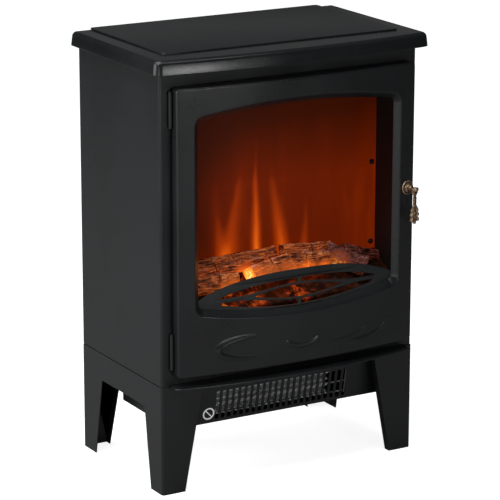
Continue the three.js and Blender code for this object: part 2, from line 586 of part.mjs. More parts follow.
function makeGrille() {
  const { count, pitch, width, bottom, top } = SLOTS;
  const first = (-(count - 1) * pitch) / 2;
  const slots = [];
  for (let i = 0; i < count; i += 1) {
    const x = first + i * pitch;
    slots.push(box(x - width / 2, x + width / 2, -5, 5, bottom, top));
  }
  const face = cut(box(2 - BOX.halfWidth, BOX.halfWidth - 2, -SHEET - GAP, -GAP, BOX.bottom, 151), ...slots);
  add("heater_grille", leaned(face, 0), paint());
  const end = WIRES.halfWidth;
  const wires = WIRES.shares.map((share) => {
    const z = top - share * (top - bottom);
    return turnedX(rod(WIRES.radius, -end, end), WIRES.behind, z, 8);
  });
  const bars = [2 - end, end - 2].map((x) =>
    turnedZ(rod(WIRES.radius, bottom - 1, top + 6), x, WIRES.behind, 8),
  );
  add("guard_wires", leaned(join(...wires, ...bars), 0), steel());
  const badgeBack = SHEET + GAP + 0.1;
  const ring = tube(BADGE.inner, BADGE.outer, badgeBack, badgeBack + BADGE.thickness);
  add("badge_ring", leaned(turnedFront(ring, BADGE.x, BADGE.z, 28), 0), label());
  const { radius } = BUMPER;
  const stud = [[0, BUMPER.bottom], [radius - 0.6, BUMPER.bottom], [radius, BUMPER.bottom + 1]];
  stud.push([radius, BOX.bottom - GAP], [0, BOX.bottom - GAP]);
  add("box_bumper", turnedZ(stud, BUMPER.x, BUMPER.y, 12), rubber());
}

function makeHeater() {
  const { y, z, radius, left, right, shaft, blades } = FAN;
  const disc = (x) => turnedX(rod(radius, x, x + FAN.disc), y, z, 28);
  const length = right - left - FAN.disc;
  const vanes = [];
  for (let i = 0; i < blades; i += 1) {
    const vane = new THREE.BoxGeometry(length, 6, 0.9).rotateX(0.6).translate(0, 0, radius - 3.4);
    const turn = (2 * Math.PI * (i + 0.5)) / blades;
    vanes.push(vane.rotateX(turn).translate((left + right) / 2, y, z));
  }
  const stub = (x0, x1) => turnedX(rod(shaft, x0, x1), y, z, 16);
  const discs = [left, (left + right - FAN.disc) / 2, right - FAN.disc].map(disc);
  const stubs = [stub(left - 8, left + 1), stub(right - 1, right + 10)];
  add("fan_impeller", join(...discs, ...vanes, ...stubs), plastic());
  const start = right + 4 + GAP;
  const can = [[0, start], [19, start], [19, start + 30], [14, start + 34], [0, start + 34]];
  const bore = turnedX(rod(shaft + 0.1, start - 1, start + 8), y, z, 16);
  add("fan_motor", cut(turnedX(can, y, z, 24), bore), steel());
  const { front, back, bottom, top, pitch, gap } = ELEMENT;
  const airways = [];
  for (let x = ELEMENT.left + 3; x < ELEMENT.right - 4; x += pitch) {
    airways.push(box(x, x + gap, front - 2, back + 4, bottom + 4, top - 4));
  }
  add("heating_element", leaned(cut(block(ELEMENT), ...airways), 0), steel());
  const cutout = [[0, CUTOUT.bottom], [CUTOUT.radius, CUTOUT.bottom], [CUTOUT.radius, CUTOUT.top - 2]];
  cutout.push([CUTOUT.radius - 3, CUTOUT.top], [0, CUTOUT.top]);
  add("thermal_cutout", turnedZ(cutout, CUTOUT.x, CUTOUT.y, 16), plastic());
}

// The controls behind the door's lower part.
function makeControls() {
  const { left, right, bottom, top } = PANEL;
  const face = -CABINET.halfDepth - GAP;
  const { xs, z, width, height } = SWITCH;
  const halfHole = width / 2 + 0.6;
  const around = (x, y0, y1, rise) => box(x - halfHole, x + halfHole, y0, y1, z - rise, z + rise);
  const holes = xs.map((x) => around(x, -130, -100, height / 2 + 1));
  const knobHole = turnedFront(rod(KNOB.shaft + 0.5, 100, 130), KNOB.x, KNOB.z, 16);
  add("control_panel", cut(box(left, right, face - SHEET, face, bottom, top), ...holes, knobHole), plastic());
  const blockFront = face + GAP;
  const wells = xs.map((x) => around(x, -130, -105, height / 2 + 1.5));
  const switches = box(xs[0] - 10, xs[2] + 12, blockFront, -100, z - 17, z + 17);
  add("switch_block", cut(switches, ...wells), plastic());
  const rockerNames = ["rocker_power", "rocker_low_heat", "rocker_high_heat"];
  const section = [[-5.4, -10], [-4.2, 0], [-5.4, 10], [-3.4, 10.2], [0, 7], [2.5, 0], [0, -7]];
  section.push([-3.4, -10.2]);
  xs.forEach((x, i) => {
    const rocker = drawn(polygon(section), -width / 2, width / 2);
    rocker.rotateX(THREE.MathUtils.degToRad(SWITCH.tilt)).translate(x, SWITCH.pivotY, z);
    add(rockerNames[i], rocker, plastic());
  });
  const body = cut(
    box(KNOB.x - 14, KNOB.x + 14, blockFront, -98, KNOB.z - 14, KNOB.z + 14),
    turnedFront(rod(KNOB.shaft + 0.1, 90, 130), KNOB.x, KNOB.z, 16),
  );
  add("thermostat_body", body, plastic());
  const { radius, shaft } = KNOB;
  const skirt = -face + SHEET + 0.8;
  const cap = skirt + 12.5;
  const knob = [[0, 103], [shaft, 103], [shaft, skirt], [radius, skirt], [radius - 1.5, cap - 1.5]];
  knob.push([radius - 3, cap], [0, cap]);
  const pointer = box(KNOB.x - 1, KNOB.x + 1, -cap - 1.1, -cap + 0.5, KNOB.z, KNOB.z + radius - 4);
  add("thermostat_knob", join(turnedFront(knob, KNOB.x, KNOB.z, 24), pointer), plastic());
}

makeTop();
makeCabinet();
makeHearth();
makeLegFrame("leg_frame_left", -1);
makeLegFrame("leg_frame_right", 1);
makeDoor();
makeGrate();
makeHinge("lower", HINGE.lower);
makeHinge("upper", HINGE.upper);
makeCatch();
makeHandle();
makeFirebox();
makeScreen();
makeBed();
makeLogs();
makeRotor();
makeHeaterBox();
makeGrille();
makeHeater();
makeControls();

export default stove;
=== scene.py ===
"""A freestanding electric stove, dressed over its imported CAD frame: satin black sheet steel, a bowed
pressed door with a cast grate, a lit log bed in front of a flame screen, and a fan heater underneath.
Metres, +Z up, front towards -Y."""

import json
import math

import bmesh
import bpy
from mathutils import Matrix, Vector, noise

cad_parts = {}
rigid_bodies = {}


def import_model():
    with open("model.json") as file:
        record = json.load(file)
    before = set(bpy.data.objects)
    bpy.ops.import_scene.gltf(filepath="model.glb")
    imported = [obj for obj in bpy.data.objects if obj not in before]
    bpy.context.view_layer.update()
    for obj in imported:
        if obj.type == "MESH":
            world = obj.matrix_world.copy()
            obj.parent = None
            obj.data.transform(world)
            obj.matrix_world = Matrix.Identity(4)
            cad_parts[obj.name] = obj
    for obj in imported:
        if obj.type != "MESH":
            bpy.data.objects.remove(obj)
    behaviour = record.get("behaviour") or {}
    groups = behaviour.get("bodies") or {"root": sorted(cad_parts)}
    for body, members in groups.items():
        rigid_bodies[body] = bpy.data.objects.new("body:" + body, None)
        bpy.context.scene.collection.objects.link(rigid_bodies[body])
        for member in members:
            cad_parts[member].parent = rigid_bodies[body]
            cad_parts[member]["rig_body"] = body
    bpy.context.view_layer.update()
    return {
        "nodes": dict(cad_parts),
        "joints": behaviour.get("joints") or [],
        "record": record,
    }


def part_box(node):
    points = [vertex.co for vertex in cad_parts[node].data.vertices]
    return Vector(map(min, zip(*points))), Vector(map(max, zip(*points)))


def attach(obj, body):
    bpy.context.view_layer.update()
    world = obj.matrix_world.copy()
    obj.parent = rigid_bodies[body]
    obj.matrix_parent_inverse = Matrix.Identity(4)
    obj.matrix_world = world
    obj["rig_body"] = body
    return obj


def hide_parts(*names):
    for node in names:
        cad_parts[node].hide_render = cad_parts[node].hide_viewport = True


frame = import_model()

MM = 0.001
TURN = 2 * math.pi
scene = bpy.context.scene


# ---- Sizes, from the frame ----
def box_of(node):
    """A CAD node's box as left, right, front, back, bottom and top."""
    low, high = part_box(node)
    return low.x, high.x, low.y, high.y, low.z, high.z


def joint(name):
    """A joint's point and axis."""
    found = next(j for j in frame["joints"] if j["name"] == name)
    return Vector(found["pos_m"]), Vector(found["axis"])


CABINET_MIDDLE_Y = sum(box_of("cabinet_shell")[2:4]) / 2
DOOR_LEFT, DOOR_RIGHT, DOOR_MOST, DOOR_BACK, DOOR_BOTTOM, DOOR_TOP = box_of("door_shell")
DOOR_X = (DOOR_LEFT + DOOR_RIGHT) / 2
DOOR_HALF = (DOOR_RIGHT - DOOR_LEFT) / 2
DOOR_BOW = 15 * MM
DOOR_CORNER = 6 * MM
DOOR_SHEET = 1.6 * MM
WINDOW = {"half": 161 * MM, "bottom": 238 * MM, "top": 538.5 * MM, "arch": 0.62, "corner": 15 * MM}
WINDOW_BEVEL = 8 * MM
GRATE_TOP, GRATE_MIDDLE = box_of("door_grate")[5], 267 * MM
GRATE_HALF = (box_of("door_grate")[1] - box_of("door_grate")[0]) / 2
GRATE_THICK, GRATE_SET_BACK = 4 * MM, 9.2 * MM
BOX_LEAN = math.radians(10.6)
BOX_BOTTOM = box_of("heater_housing")[4]
BOX_FRONT = CABINET_MIDDLE_Y - 90 * MM
REACH = 16.4 * MM
BADGE_TILT = -45


def door_face(x):
    """Where the door's bowed face stands at x."""
    return DOOR_MOST + DOOR_BOW * ((x - DOOR_X) / DOOR_HALF) ** 2


# ---- Materials ----
class Recipe:
    """A material being put together: one Principled shader and shorthand for the nodes that feed it."""

    def __init__(self, name, **sockets):
        self.material = bpy.data.materials.new(name)
        self.material.use_nodes = True
        self.tree = self.material.node_tree
        self.tree.nodes.clear()
        self.shader = self.node("ShaderNodeBsdfPrincipled")
        output = self.node("ShaderNodeOutputMaterial")
        self.tree.links.new(self.shader.outputs[0], output.inputs[0])
        self.place = self.node("ShaderNodeTexCoord").outputs["Object"]
        for socket, value in sockets.items():
            self.set(socket.replace("_", " "), value)

    def node(self, kind, **settings):
        made = self.tree.nodes.new(kind)
        for key, value in settings.items():
            setattr(made, key, value)
        return made

    def feed(self, socket, value):
        """Links a node's output to a socket, or sets the socket's own value."""
        if isinstance(value, bpy.types.NodeSocket):
            self.tree.links.new(value, socket)
        elif isinstance(value, (tuple, list)) and socket.type == "RGBA":
            socket.default_value = (*value[:3], 1.0)
        else:
            socket.default_value = value

    def set(self, socket, value):
        self.feed(self.shader.inputs[socket], value)

    def math(self, operation, a, b=0.0, clamp=False):
        made = self.node("ShaderNodeMath", operation=operation, use_clamp=clamp)
        self.feed(made.inputs[0], a)
        self.feed(made.inputs[1], b)
        return made.outputs[0]

    def plus(self, a, b, clamp=False):
        return self.math("ADD", a, b, clamp)

    def times(self, a, b, clamp=False):
        return self.math("MULTIPLY", a, b, clamp)

    def xyz(self, vector=None):
        made = self.node("ShaderNodeSeparateXYZ")
        self.feed(made.inputs[0], vector or self.place)
        return made.outputs

    def scaled(self, scale):
        """The object's own coordinates, scaled."""
        made = self.node("ShaderNodeMapping")
        self.feed(made.inputs["Vector"], self.place)
        made.inputs["Scale"].default_value = scale
        return made.outputs[0]

    def noise(self, scale, detail=3.0, rough=0.5, vector=None, twist=0.0):
        made = self.node("ShaderNodeTexNoise")
        self.feed(made.inputs["Vector"], vector or self.place)
        for key, value in (("Scale", scale), ("Detail", detail), ("Roughness", rough), ("Distortion", twist)):
            made.inputs[key].default_value = value
        return made.outputs["Fac"]

    def spread(self, value, low, high, to_low=0.0, to_high=1.0):
        """value mapped from low..high to another range and clamped to it."""
        made = self.node("ShaderNodeMapRange")
        for index, number in enumerate((value, low, high, to_low, to_high)):
            self.feed(made.inputs[index], number)
        return made.outputs[0]

    def blend(self, share, a, b):
        made = self.node("ShaderNodeMix", data_type="RGBA")
        self.feed(made.inputs[0], share)
        self.feed(made.inputs[6], a)
        self.feed(made.inputs[7], b)
        return made.outputs[2]

    def ramp(self, value, *stops):
        made = self.node("ShaderNodeValToRGB")
        self.feed(made.inputs[0], value)
        elements = made.color_ramp.elements
        while len(elements) < len(stops):
            elements.new(0.5)
        for element, (position, colour) in zip(elements, stops):
            element.position = position
            element.color = (*colour, 1.0)
        return made.outputs[0]

    def bump(self, height, distance, strength=1.0, under=None):
        """A normal raised by height, in metres at height 1."""
        made = self.node("ShaderNodeBump")
        made.inputs["Strength"].default_value = strength
        made.inputs["Distance"].default_value = distance
        self.feed(made.inputs["Height"], height)
        if under is not None:
            self.feed(made.inputs["Normal"], under)
        return made.outputs[0]


def powder_coat(name, shade, gloss=0.30):
    """Satin black powder coat: orange-peel skin, slight clouding and a little dust-fine grain."""
    made = Recipe(name, Specular_IOR_Level=0.5)
    cloud = made.noise(9, 3, 0.55)
    grain = made.noise(900, 2, 0.6)
    lighter = tuple(min(1, c * 1.35) for c in shade)
    made.set("Base Color", made.blend(made.spread(cloud, 0.35, 0.65), shade, lighter))
    patchy = made.spread(cloud, 0.3, 0.7, gloss - 0.04, gloss + 0.05)
    made.set("Roughness", made.plus(patchy, made.spread(grain, 0.3, 0.7, -0.03, 0.03)))
    peel = made.bump(made.noise(420, 2, 0.5), 0.10 * MM, 0.35)
    made.set("Normal", made.bump(grain, 0.03 * MM, 0.5, peel))
    return made.material


def cast_iron(name):
    """Matte black paint over a sand casting, a little paler in random patches."""
    made = Recipe(name, Specular_IOR_Level=0.5)
    sand = made.noise(700, 4, 0.65)
    patches = made.noise(40, 3, 0.5)
    made.set("Base Color", made.ramp(patches, (0.3, (0.013, 0.015, 0.016)), (0.75, (0.026, 0.029, 0.031))))
    made.set("Roughness", made.spread(sand, 0.2, 0.8, 0.44, 0.66))
    low = made.bump(made.noise(120, 2, 0.5), 0.25 * MM, 0.4)
    made.set("Normal", made.bump(sand, 0.09 * MM, 0.7, low))
    return made.material


def bronze(name):
    """Antique bronze: dark patina in the hollows and bright rubbed high spots."""
    made = Recipe(name, Metallic=0.8)
    worn = made.node("ShaderNodeNewGeometry").outputs["Pointiness"]
    mottle = made.noise(330, 4, 0.6)
    rubbed = made.plus(made.spread(worn, 0.47, 0.56), made.spread(mottle, 0.35, 0.7, -0.3, 0.3))
    colours = ((0.1, (0.06, 0.034, 0.020)), (0.5, (0.27, 0.16, 0.088)), (0.95, (0.66, 0.52, 0.37)))
    made.set("Base Color", made.ramp(rubbed, *colours))
    made.set("Roughness", made.spread(mottle, 0.3, 0.7, 0.24, 0.48))
    made.set("Normal", made.bump(mottle, 0.05 * MM, 0.5))
    return made.material


def steel(name, shade=(0.52, 0.53, 0.54), rough=0.3, along=(6, 600, 600), metal=1.0):
    """Brushed, drawn or rolled metal, its grain running along the axis with the smallest scale."""
    made = Recipe(name, Metallic=metal)
    grain = made.noise(1.0, 3, 0.6, made.scaled(along))
    stain = made.noise(35, 3, 0.5)
    darker = tuple(c * 0.72 for c in shade)
    made.set("Base Color", made.blend(made.spread(stain, 0.35, 0.7), shade, darker))
    made.set("Roughness", made.spread(grain, 0.3, 0.7, rough - 0.07, rough + 0.12))
    made.set("Normal", made.bump(grain, 0.02 * MM, 0.4))
    return made.material


def moulded(name, shade, rough=0.42, texture=650, depth=0.03, painted_glow_strength=0.0):
    """Moulded plastic or rubber with a fine spark-eroded grain; painted_glow_strength above 0 adds a painted
    glow that makes it brighter than its lighting.
    """
    made = Recipe(name, Specular_IOR_Level=0.45)
    grain = made.noise(texture, 2, 0.5)
    flow = made.noise(60, 2, 0.5)
    paler = tuple(min(1, c * 1.3 + 0.002) for c in shade)
    made.set("Base Color", made.blend(made.spread(flow, 0.35, 0.7), shade, paler))
    made.set("Roughness", made.spread(flow, 0.3, 0.7, rough - 0.05, rough + 0.06))
    made.set("Normal", made.bump(grain, depth * MM, 0.6))
    # Painted glow, off while painted_glow_strength is 0.
    made.set("Emission Color", shade)
    made.set("Emission Strength", painted_glow_strength)
    return made.material


def near(made, point, reach):
    """1 at a point, falling smoothly to 0 at `reach` away."""
    gap = made.node("ShaderNodeVectorMath", operation="DISTANCE")
    made.feed(gap.inputs[0], made.place)
    gap.inputs[1].default_value = point
    return made.spread(gap.outputs["Value"], reach, 0.0)


def strongest(made, values):
    """The largest of several numbers."""
    result = values[0]
    for value in values[1:]:
        result = made.math("MAXIMUM", result, value)
    return result


# Where the bed's front glows through the grate: a point and how far the glow reaches.
BED_SPOTS = [
    ((-0.100, -0.090, 0.249), 0.030),
    ((-0.052, -0.086, 0.258), 0.026),
    ((0.022, -0.088, 0.256), 0.026),
    ((-0.090, -0.078, 0.268), 0.026),
    ((0.050, -0.066, 0.276), 0.020),
    ((-0.040, -0.066, 0.278), 0.024),
]

# Where the lamps under the bed light the logs most, in the same form.
LAMP_LIT_SPOTS = [
    ((-0.050, -0.080, 0.283), 0.026),
    ((-0.030, -0.080, 0.273), 0.030),
    ((0.005, -0.076, 0.273), 0.030),
    ((0.040, -0.072, 0.271), 0.026),
    ((0.070, -0.070, 0.270), 0.024),
    ((0.098, -0.064, 0.278), 0.024),
    ((0.135, -0.060, 0.268), 0.018),
    ((-0.085, -0.076, 0.262), 0.034),
]


def log_bark(name, warmth=1.0, ends=False):
    """Painted resin wood: red-brown grain and grey ash on the upper edges, with painted lamp light: glow in
    the cracks and on the undersides near the lamps, a faint painted glow over the lighter bark, and more glow
    on the cut ends.
    """
    made = Recipe(name, Specular_IOR_Level=0.4)
    fibre = made.noise(1.0, 5, 0.65, made.scaled((60, 420, 420)), 0.5)
    if ends:
        fibre = made.noise(1.0, 5, 0.65, made.scaled((40, 300, 520)), 1.5)
    plates = made.noise(130, 4, 0.6, None, 0.8)
    geometry = made.node("ShaderNodeNewGeometry")
    up = made.xyz(geometry.outputs["Normal"])[2]
    ridge = made.spread(geometry.outputs["Pointiness"], 0.47, 0.54)
    tone = made.plus(made.times(fibre, 0.75), made.times(plates, 0.25))
    # Painted shade: the tone is raised on the ridges and lowered in the crevices by pointiness.
    tone = made.plus(tone, made.times(made.math("SUBTRACT", ridge, 0.5), 0.10))
    low, high = (0.42, 0.60) if ends else (0.37, 0.61)
    base = made.ramp(
        made.spread(tone, low, high),
        (0.0, (0.006 * warmth, 0.002 * warmth, 0.001)),
        (0.3, (0.15 * warmth, 0.026 * warmth, 0.007)),
        (0.6, (0.46 * warmth, 0.100 * warmth, 0.022)),
        (1.0, (0.95 * warmth, 0.33 * warmth, 0.09)),
    )
    ash_patch = made.noise(70, 5, 0.75, None, 0.6)
    ash = made.times(made.spread(up, 0.72, 0.93), made.spread(ash_patch, 0.50, 0.56))
    ash = made.times(ash, made.spread(ridge, 0.4, 0.9, 0.0, 0.5 + 0.5 * warmth))
    made.set("Base Color", made.blend(ash, base, (0.80, 0.74, 0.70)))
    made.set("Roughness", made.spread(plates, 0.3, 0.7, 0.42, 0.8))
    low_bump = made.bump(plates, 0.9 * MM, 0.6)
    made.set("Normal", made.bump(fibre, 0.8 * MM, 0.9, low_bump))
    # Painted lamp light: the logs glow near the lamps under the bed, most in the cracks and on the
    # undersides.
    lamp_glow = strongest(made, [near(made, point, reach) for point, reach in LAMP_LIT_SPOTS])
    crack = made.spread(tone, 0.56, 0.38)
    low_side = made.spread(up, 0.7, -0.3)
    lit = made.plus(made.times(crack, 0.75), made.times(low_side, 0.5))
    lit = made.plus(lit, 0.24 if ends else 0.05)
    glow = made.times(made.math("POWER", lamp_glow, 0.8), lit, clamp=True)
    colours = (
        (0.0, (0.8, 0.13, 0.02)),
        (0.45, (1, 0.17, 0.01)),
        (0.8, (1, 0.42, 0.06)),
        (1.0, (1, 0.72, 0.3)),
    )
    made.set("Emission Color", made.ramp(glow, *colours))
    strength = made.times(made.spread(glow, 0.02, 0.9), 1.9 * warmth)
    # A faint painted glow over the lighter bark tones, wherever the log is.
    faint_painted_glow = made.spread(tone, low + 0.04, high, 0.0, 0.18 * warmth)
    made.set("Emission Strength", made.plus(strength, faint_painted_glow))
    return made.material


def ember_glow(name):
    """The translucent bed: coals over deep orange light, brightest where a lamp sits below."""
    made = Recipe(name, Specular_IOR_Level=0.12)
    coals = made.noise(70, 3, 0.55, None, 0.6)
    grit = made.noise(260, 4, 0.65)
    # Painted lamp light: the bed glows most around the spots above the lamps.
    lamp_glow = strongest(made, [near(made, point, reach) for point, reach in BED_SPOTS])
    seams = made.plus(made.spread(coals, 0.35, 0.7), made.spread(grit, 0.35, 0.7, -0.25, 0.2))
    lit_seams = made.spread(seams, 0.15, 0.9, 0.04, 1.0)
    power = made.times(lit_seams, made.spread(lamp_glow, 0, 0.8, 0.06, 1.0))
    # The painted lamp light fades to a tenth towards the bed's right end.
    power = made.times(power, made.spread(made.xyz()[0], 0.12, 0.02, 0.1, 1.0))
    made.set("Base Color", made.ramp(seams, (0.1, (0.012, 0.004, 0.003)), (0.8, (0.09, 0.025, 0.010))))
    made.set("Roughness", made.spread(grit, 0.3, 0.7, 0.3, 0.7))
    made.set("Normal", made.bump(grit, 0.8 * MM, 0.7))
    colours = (
        (0.0, (0.35, 0.008, 0.0)),
        (0.35, (0.9, 0.08, 0.002)),
        (0.7, (1, 0.24, 0.02)),
        (1, (1, 0.6, 0.15)),
    )
    made.set("Emission Color", made.ramp(power, *colours))
    made.set("Emission Strength", made.spread(power, 0.03, 1.0, 0.0, 0.72))
    return made.material


# The flames' foot and tip on the screen (x, z), the width at the foot and the brightness.
FLAMES = [
    (-0.068, 0.285, -0.080, 0.420, 0.011, 0.62),
    (-0.062, 0.285, -0.034, 0.440, 0.010, 0.60),
    (-0.013, 0.285, -0.013, 0.470, 0.0062, 0.98),
    (0.032, 0.285, 0.008, 0.430, 0.010, 0.72),
    (0.066, 0.280, 0.067, 0.390, 0.0070, 0.42),
    (-0.100, 0.280, -0.112, 0.350, 0.014, 0.25),
]


def flame_light(name):
    """The translucent screen with the moving flames' light behind it, held at one moment."""
    made = Recipe(name, Specular_IOR_Level=0.06)
    x, _, z = made.xyz()
    sway = made.noise(1.0, 3, 0.5, made.scaled((14, 1, 9)))
    wander = made.times(made.math("SUBTRACT", sway, 0.5), 0.014)
    tongues = []
    for foot_x, foot_z, tip_x, tip_z, width, bright in FLAMES:
        rise = made.spread(z, foot_z, tip_z)
        centre = made.plus(made.times(rise, tip_x - foot_x), foot_x)
        off = made.math("SUBTRACT", made.plus(x, wander), centre)
        share = made.math("DIVIDE", off, made.times(made.math("SUBTRACT", 1.3, rise), width))
        across = made.math("POWER", math.e, made.times(made.times(share, share), -1.0))
        fade = made.math("POWER", made.math("SUBTRACT", 1.0, rise), 1.1)
        tongues.append(made.times(made.times(across, fade), bright))
    fire = tongues[0]
    for tongue in tongues[1:]:
        fire = made.plus(fire, tongue)
    haze = made.times(made.spread(z, 0.57, 0.40), made.spread(x, -0.15, -0.045, 0.25, 1.0))
    smoke = made.noise(1.0, 3, 0.5, made.scaled((22, 1, 5)))
    body = made.times(haze, made.spread(smoke, 0.3, 0.7, 0.44, 0.53))
    # Painted highlight: a thin brighter band of glow along the screen's right edge.
    edge = made.spread(x, 0.150, 0.178, 0.0, 0.03)
    level = made.plus(body, edge)
    level = made.plus(made.times(fire, 0.52), level, clamp=True)
    colours = (
        (0.0, (0.003, 0.0004, 0.0001)),
        (0.25, (0.036, 0.004, 0.0003)),
        (0.5, (0.125, 0.010, 0.0005)),
        (0.7, (0.36, 0.036, 0.0015)),
        (0.85, (0.62, 0.085, 0.004)),
        (1.0, (0.95, 0.22, 0.015)),
    )
    made.set("Base Color", made.blend(smoke, (0.012, 0.003, 0.001), (0.02, 0.004, 0.002)))
    made.set("Emission Color", made.ramp(level, *colours))
    made.set("Emission Strength", 1.0)
    made.set("Roughness", made.spread(smoke, 0.3, 0.7, 0.42, 0.52))
    made.set("Normal", made.bump(made.noise(500, 2, 0.5), 0.03 * MM, 0.4))
    return made.material


def plain_lit(name, shade, light, strength):
    """A small lamp lens."""
    made = Recipe(name, Roughness=0.3, Emission_Color=light, Emission_Strength=strength)
    made.set("Base Color", made.blend(made.noise(400, 2), shade, tuple(c * 0.8 for c in shade)))
    return made.material


SATIN_BLACK = (0.0105, 0.0115, 0.0125)
SLAB_PAINT = powder_coat("satin_black_top_paint", SATIN_BLACK, 0.23)
PAINT = powder_coat("satin_black_paint", SATIN_BLACK)
INNER_PAINT = powder_coat("matte_black_inside", (0.010, 0.010, 0.010), 0.6)
CAST = cast_iron("cast_black")
BRONZE = bronze("antique_bronze")
STEEL = steel("brushed_steel")
ZINC = steel("zinc_plated", (0.78, 0.78, 0.76), 0.34, (40, 300, 300), 0.6)
WIRE = steel("bright_wire", (0.90, 0.90, 0.88), 0.36, (40, 300, 300), 0.1)
FIN_STEEL = steel("fin_aluminium", (0.86, 0.88, 0.87), 0.5, (300, 40, 300), 0.05)
BLACK_PLASTIC = moulded("black_plastic", (0.018, 0.018, 0.019))
RUBBER = moulded("black_rubber", (0.012, 0.012, 0.012), 0.72, 420, 0.06)
# The white print glows a little: painted light that lifts it brighter than the lamps make it.
GLOWING_WHITE_PRINT = moulded("white_print_painted_glow", (0.90, 0.90, 0.89), 0.5, 650, 0.03, 0.22)
BOARD = moulded("white_board", (0.68, 0.71, 0.66), 0.4)
BARK = log_bark("painted_bark")
# A darker copy of the bark with a weaker painted glow, for the two logs at the fire's right end.
DARKER_BARK = log_bark("darker_bark", 0.3)
END_GRAIN = log_bark("cut_end_grain", 1.1, True)
EMBER = ember_glow("ember_bed_glow")
FLAME = flame_light("flame_screen_light")
LAMP = plain_lit("lamp_lens", (0.8, 0.7, 0.4), (1.0, 0.35, 0.05), 4.0)

SLOT_MATERIALS = {
    "paint_black": PAINT,
    "cast_black": CAST,
    "bronze": BRONZE,
    "steel": STEEL,
    "plastic_black": BLACK_PLASTIC,
    "rubber": RUBBER,
    "resin_log": BARK,
    "ember": EMBER,
    "flame_screen": FLAME,
    "board": BOARD,
    "label": GLOWING_WHITE_PRINT,
}
SLOT_OF_NODE = {row["node"]: row["material_slot"] for row in frame["record"]["subparts"]}


# ---- Mesh helpers ----
def piece_from(name, bm, material, body, smooth_below=38.0, replaces=()):
    """Finishes a bmesh as a piece: merged, smooth except over sharp edges, riding on its body."""
    bmesh.ops.remove_doubles(bm, verts=bm.verts, dist=1e-7)
    bmesh.ops.recalc_face_normals(bm, faces=bm.faces)
    mesh = bpy.data.meshes.new(name)
    bm.to_mesh(mesh)
    bm.free()
    for polygon in mesh.polygons:
        polygon.use_smooth = True
    mesh.set_sharp_from_angle(angle=math.radians(smooth_below))
    mesh.materials.append(material)
    piece = bpy.data.objects.new(name, mesh)
    scene.collection.objects.link(piece)
    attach(piece, body)
    if replaces:
        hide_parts(*replaces)
    return piece


def skin(bm, loops, ring=False):
    """Quads over loops of equal length; a ring joins its last loop to its first, others are capped."""
    rows = [[bm.verts.new(point) for point in loop] for loop in loops]
    count = len(rows[0])
    pairs = list(zip(rows, rows[1:]))
    if ring:
        pairs.append((rows[-1], rows[0]))
    for here, there in pairs:
        for i in range(count):
            j = (i + 1) % count
            bm.faces.new((here[i], here[j], there[j], there[i]))
    if not ring:
        bm.faces.new(rows[0])
        bm.faces.new(rows[-1])


def revolve(bm, profile, place, sides=48, ripple=None):
    """A turned solid: profile rows are (radius, height), turned about place's Z axis."""
    loops = []
    for radius, height in profile:
        loop = []
        for i in range(sides):
            turn = TURN * i / sides
            r = max(radius, 1e-6) * (ripple(turn, radius, height) if ripple else 1.0)
            loop.append(place @ Vector((r * math.cos(turn), r * math.sin(turn), height)))
        loops.append(loop)
    skin(bm, loops)


def washer(bm, place, section, sides):
    """A ring about place's Z axis; section rows are (radius, height) in mm."""
    turns = [TURN * k / sides for k in range(sides)]
    loops = []
    for r, h in section:
        loops.append([place @ Vector((r * MM * math.cos(t), r * MM * math.sin(t), h * MM)) for t in turns])
    skin(bm, loops, ring=True)


def facing(point, direction):
    """A place at a point whose Z axis runs along a direction."""
    return Matrix.Translation(point) @ Vector(direction).to_track_quat("Z", "Y").to_matrix().to_4x4()


def quarter(steps):
    """Sine and cosine at even steps of a quarter turn."""
    turns = [math.pi / 2 * i / steps for i in range(steps + 1)]
    return [(math.sin(turn), math.cos(turn)) for turn in turns]


def rounded_rod(radius, start, end, edge):
    """The profile of a rod with softly rounded ends."""
    rows = [(0.0, start)]
    rows += [(radius - edge + edge * s, start + edge - edge * c) for s, c in quarter(4)]
    rows += [(radius - edge + edge * c, end - edge + edge * s) for s, c in quarter(4)]
    rows.append((0.0, end))
    return rows


def tube(bm, points, radius, sides=16):
    """A round wire along a line of points, closed at both ends."""
    points = [Vector(p) for p in points]
    loops = []
    side = None
    for i, point in enumerate(points):
        ahead = points[min(i + 1, len(points) - 1)] - points[max(i - 1, 0)]
        ahead.normalize()
        if side is None:
            side = ahead.orthogonal().normalized()
        side = (side - ahead * side.dot(ahead)).normalized()
        other = ahead.cross(side)
        turns = [TURN * k / sides for k in range(sides)]
        loops.append([point + radius * (side * math.cos(t) + other * math.sin(t)) for t in turns])
    skin(bm, loops)


def slab_box(bm, low, high, edge=0.0):
    """A block between two corners, its edges softened."""
    made = bmesh.new()
    bmesh.ops.create_cube(made, size=1.0)
    size = Vector(high) - Vector(low)
    bmesh.ops.transform(made, matrix=Matrix.Diagonal((*size, 1.0)), verts=made.verts)
    bmesh.ops.translate(made, vec=(Vector(low) + Vector(high)) / 2, verts=made.verts)
    if edge:
        bmesh.ops.bevel(made, geom=made.edges, offset=edge, segments=2, profile=0.5, affect="EDGES")
    merge_into(bm, made)


def merge_into(bm, other, matrix=None):
    """Adds another bmesh's faces."""
    if matrix is not None:
        bmesh.ops.transform(other, matrix=matrix, verts=other.verts)
    mesh = bpy.data.meshes.new("scratch")
    other.to_mesh(mesh)
    other.free()
    bm.from_mesh(mesh)
    bpy.data.meshes.remove(mesh)


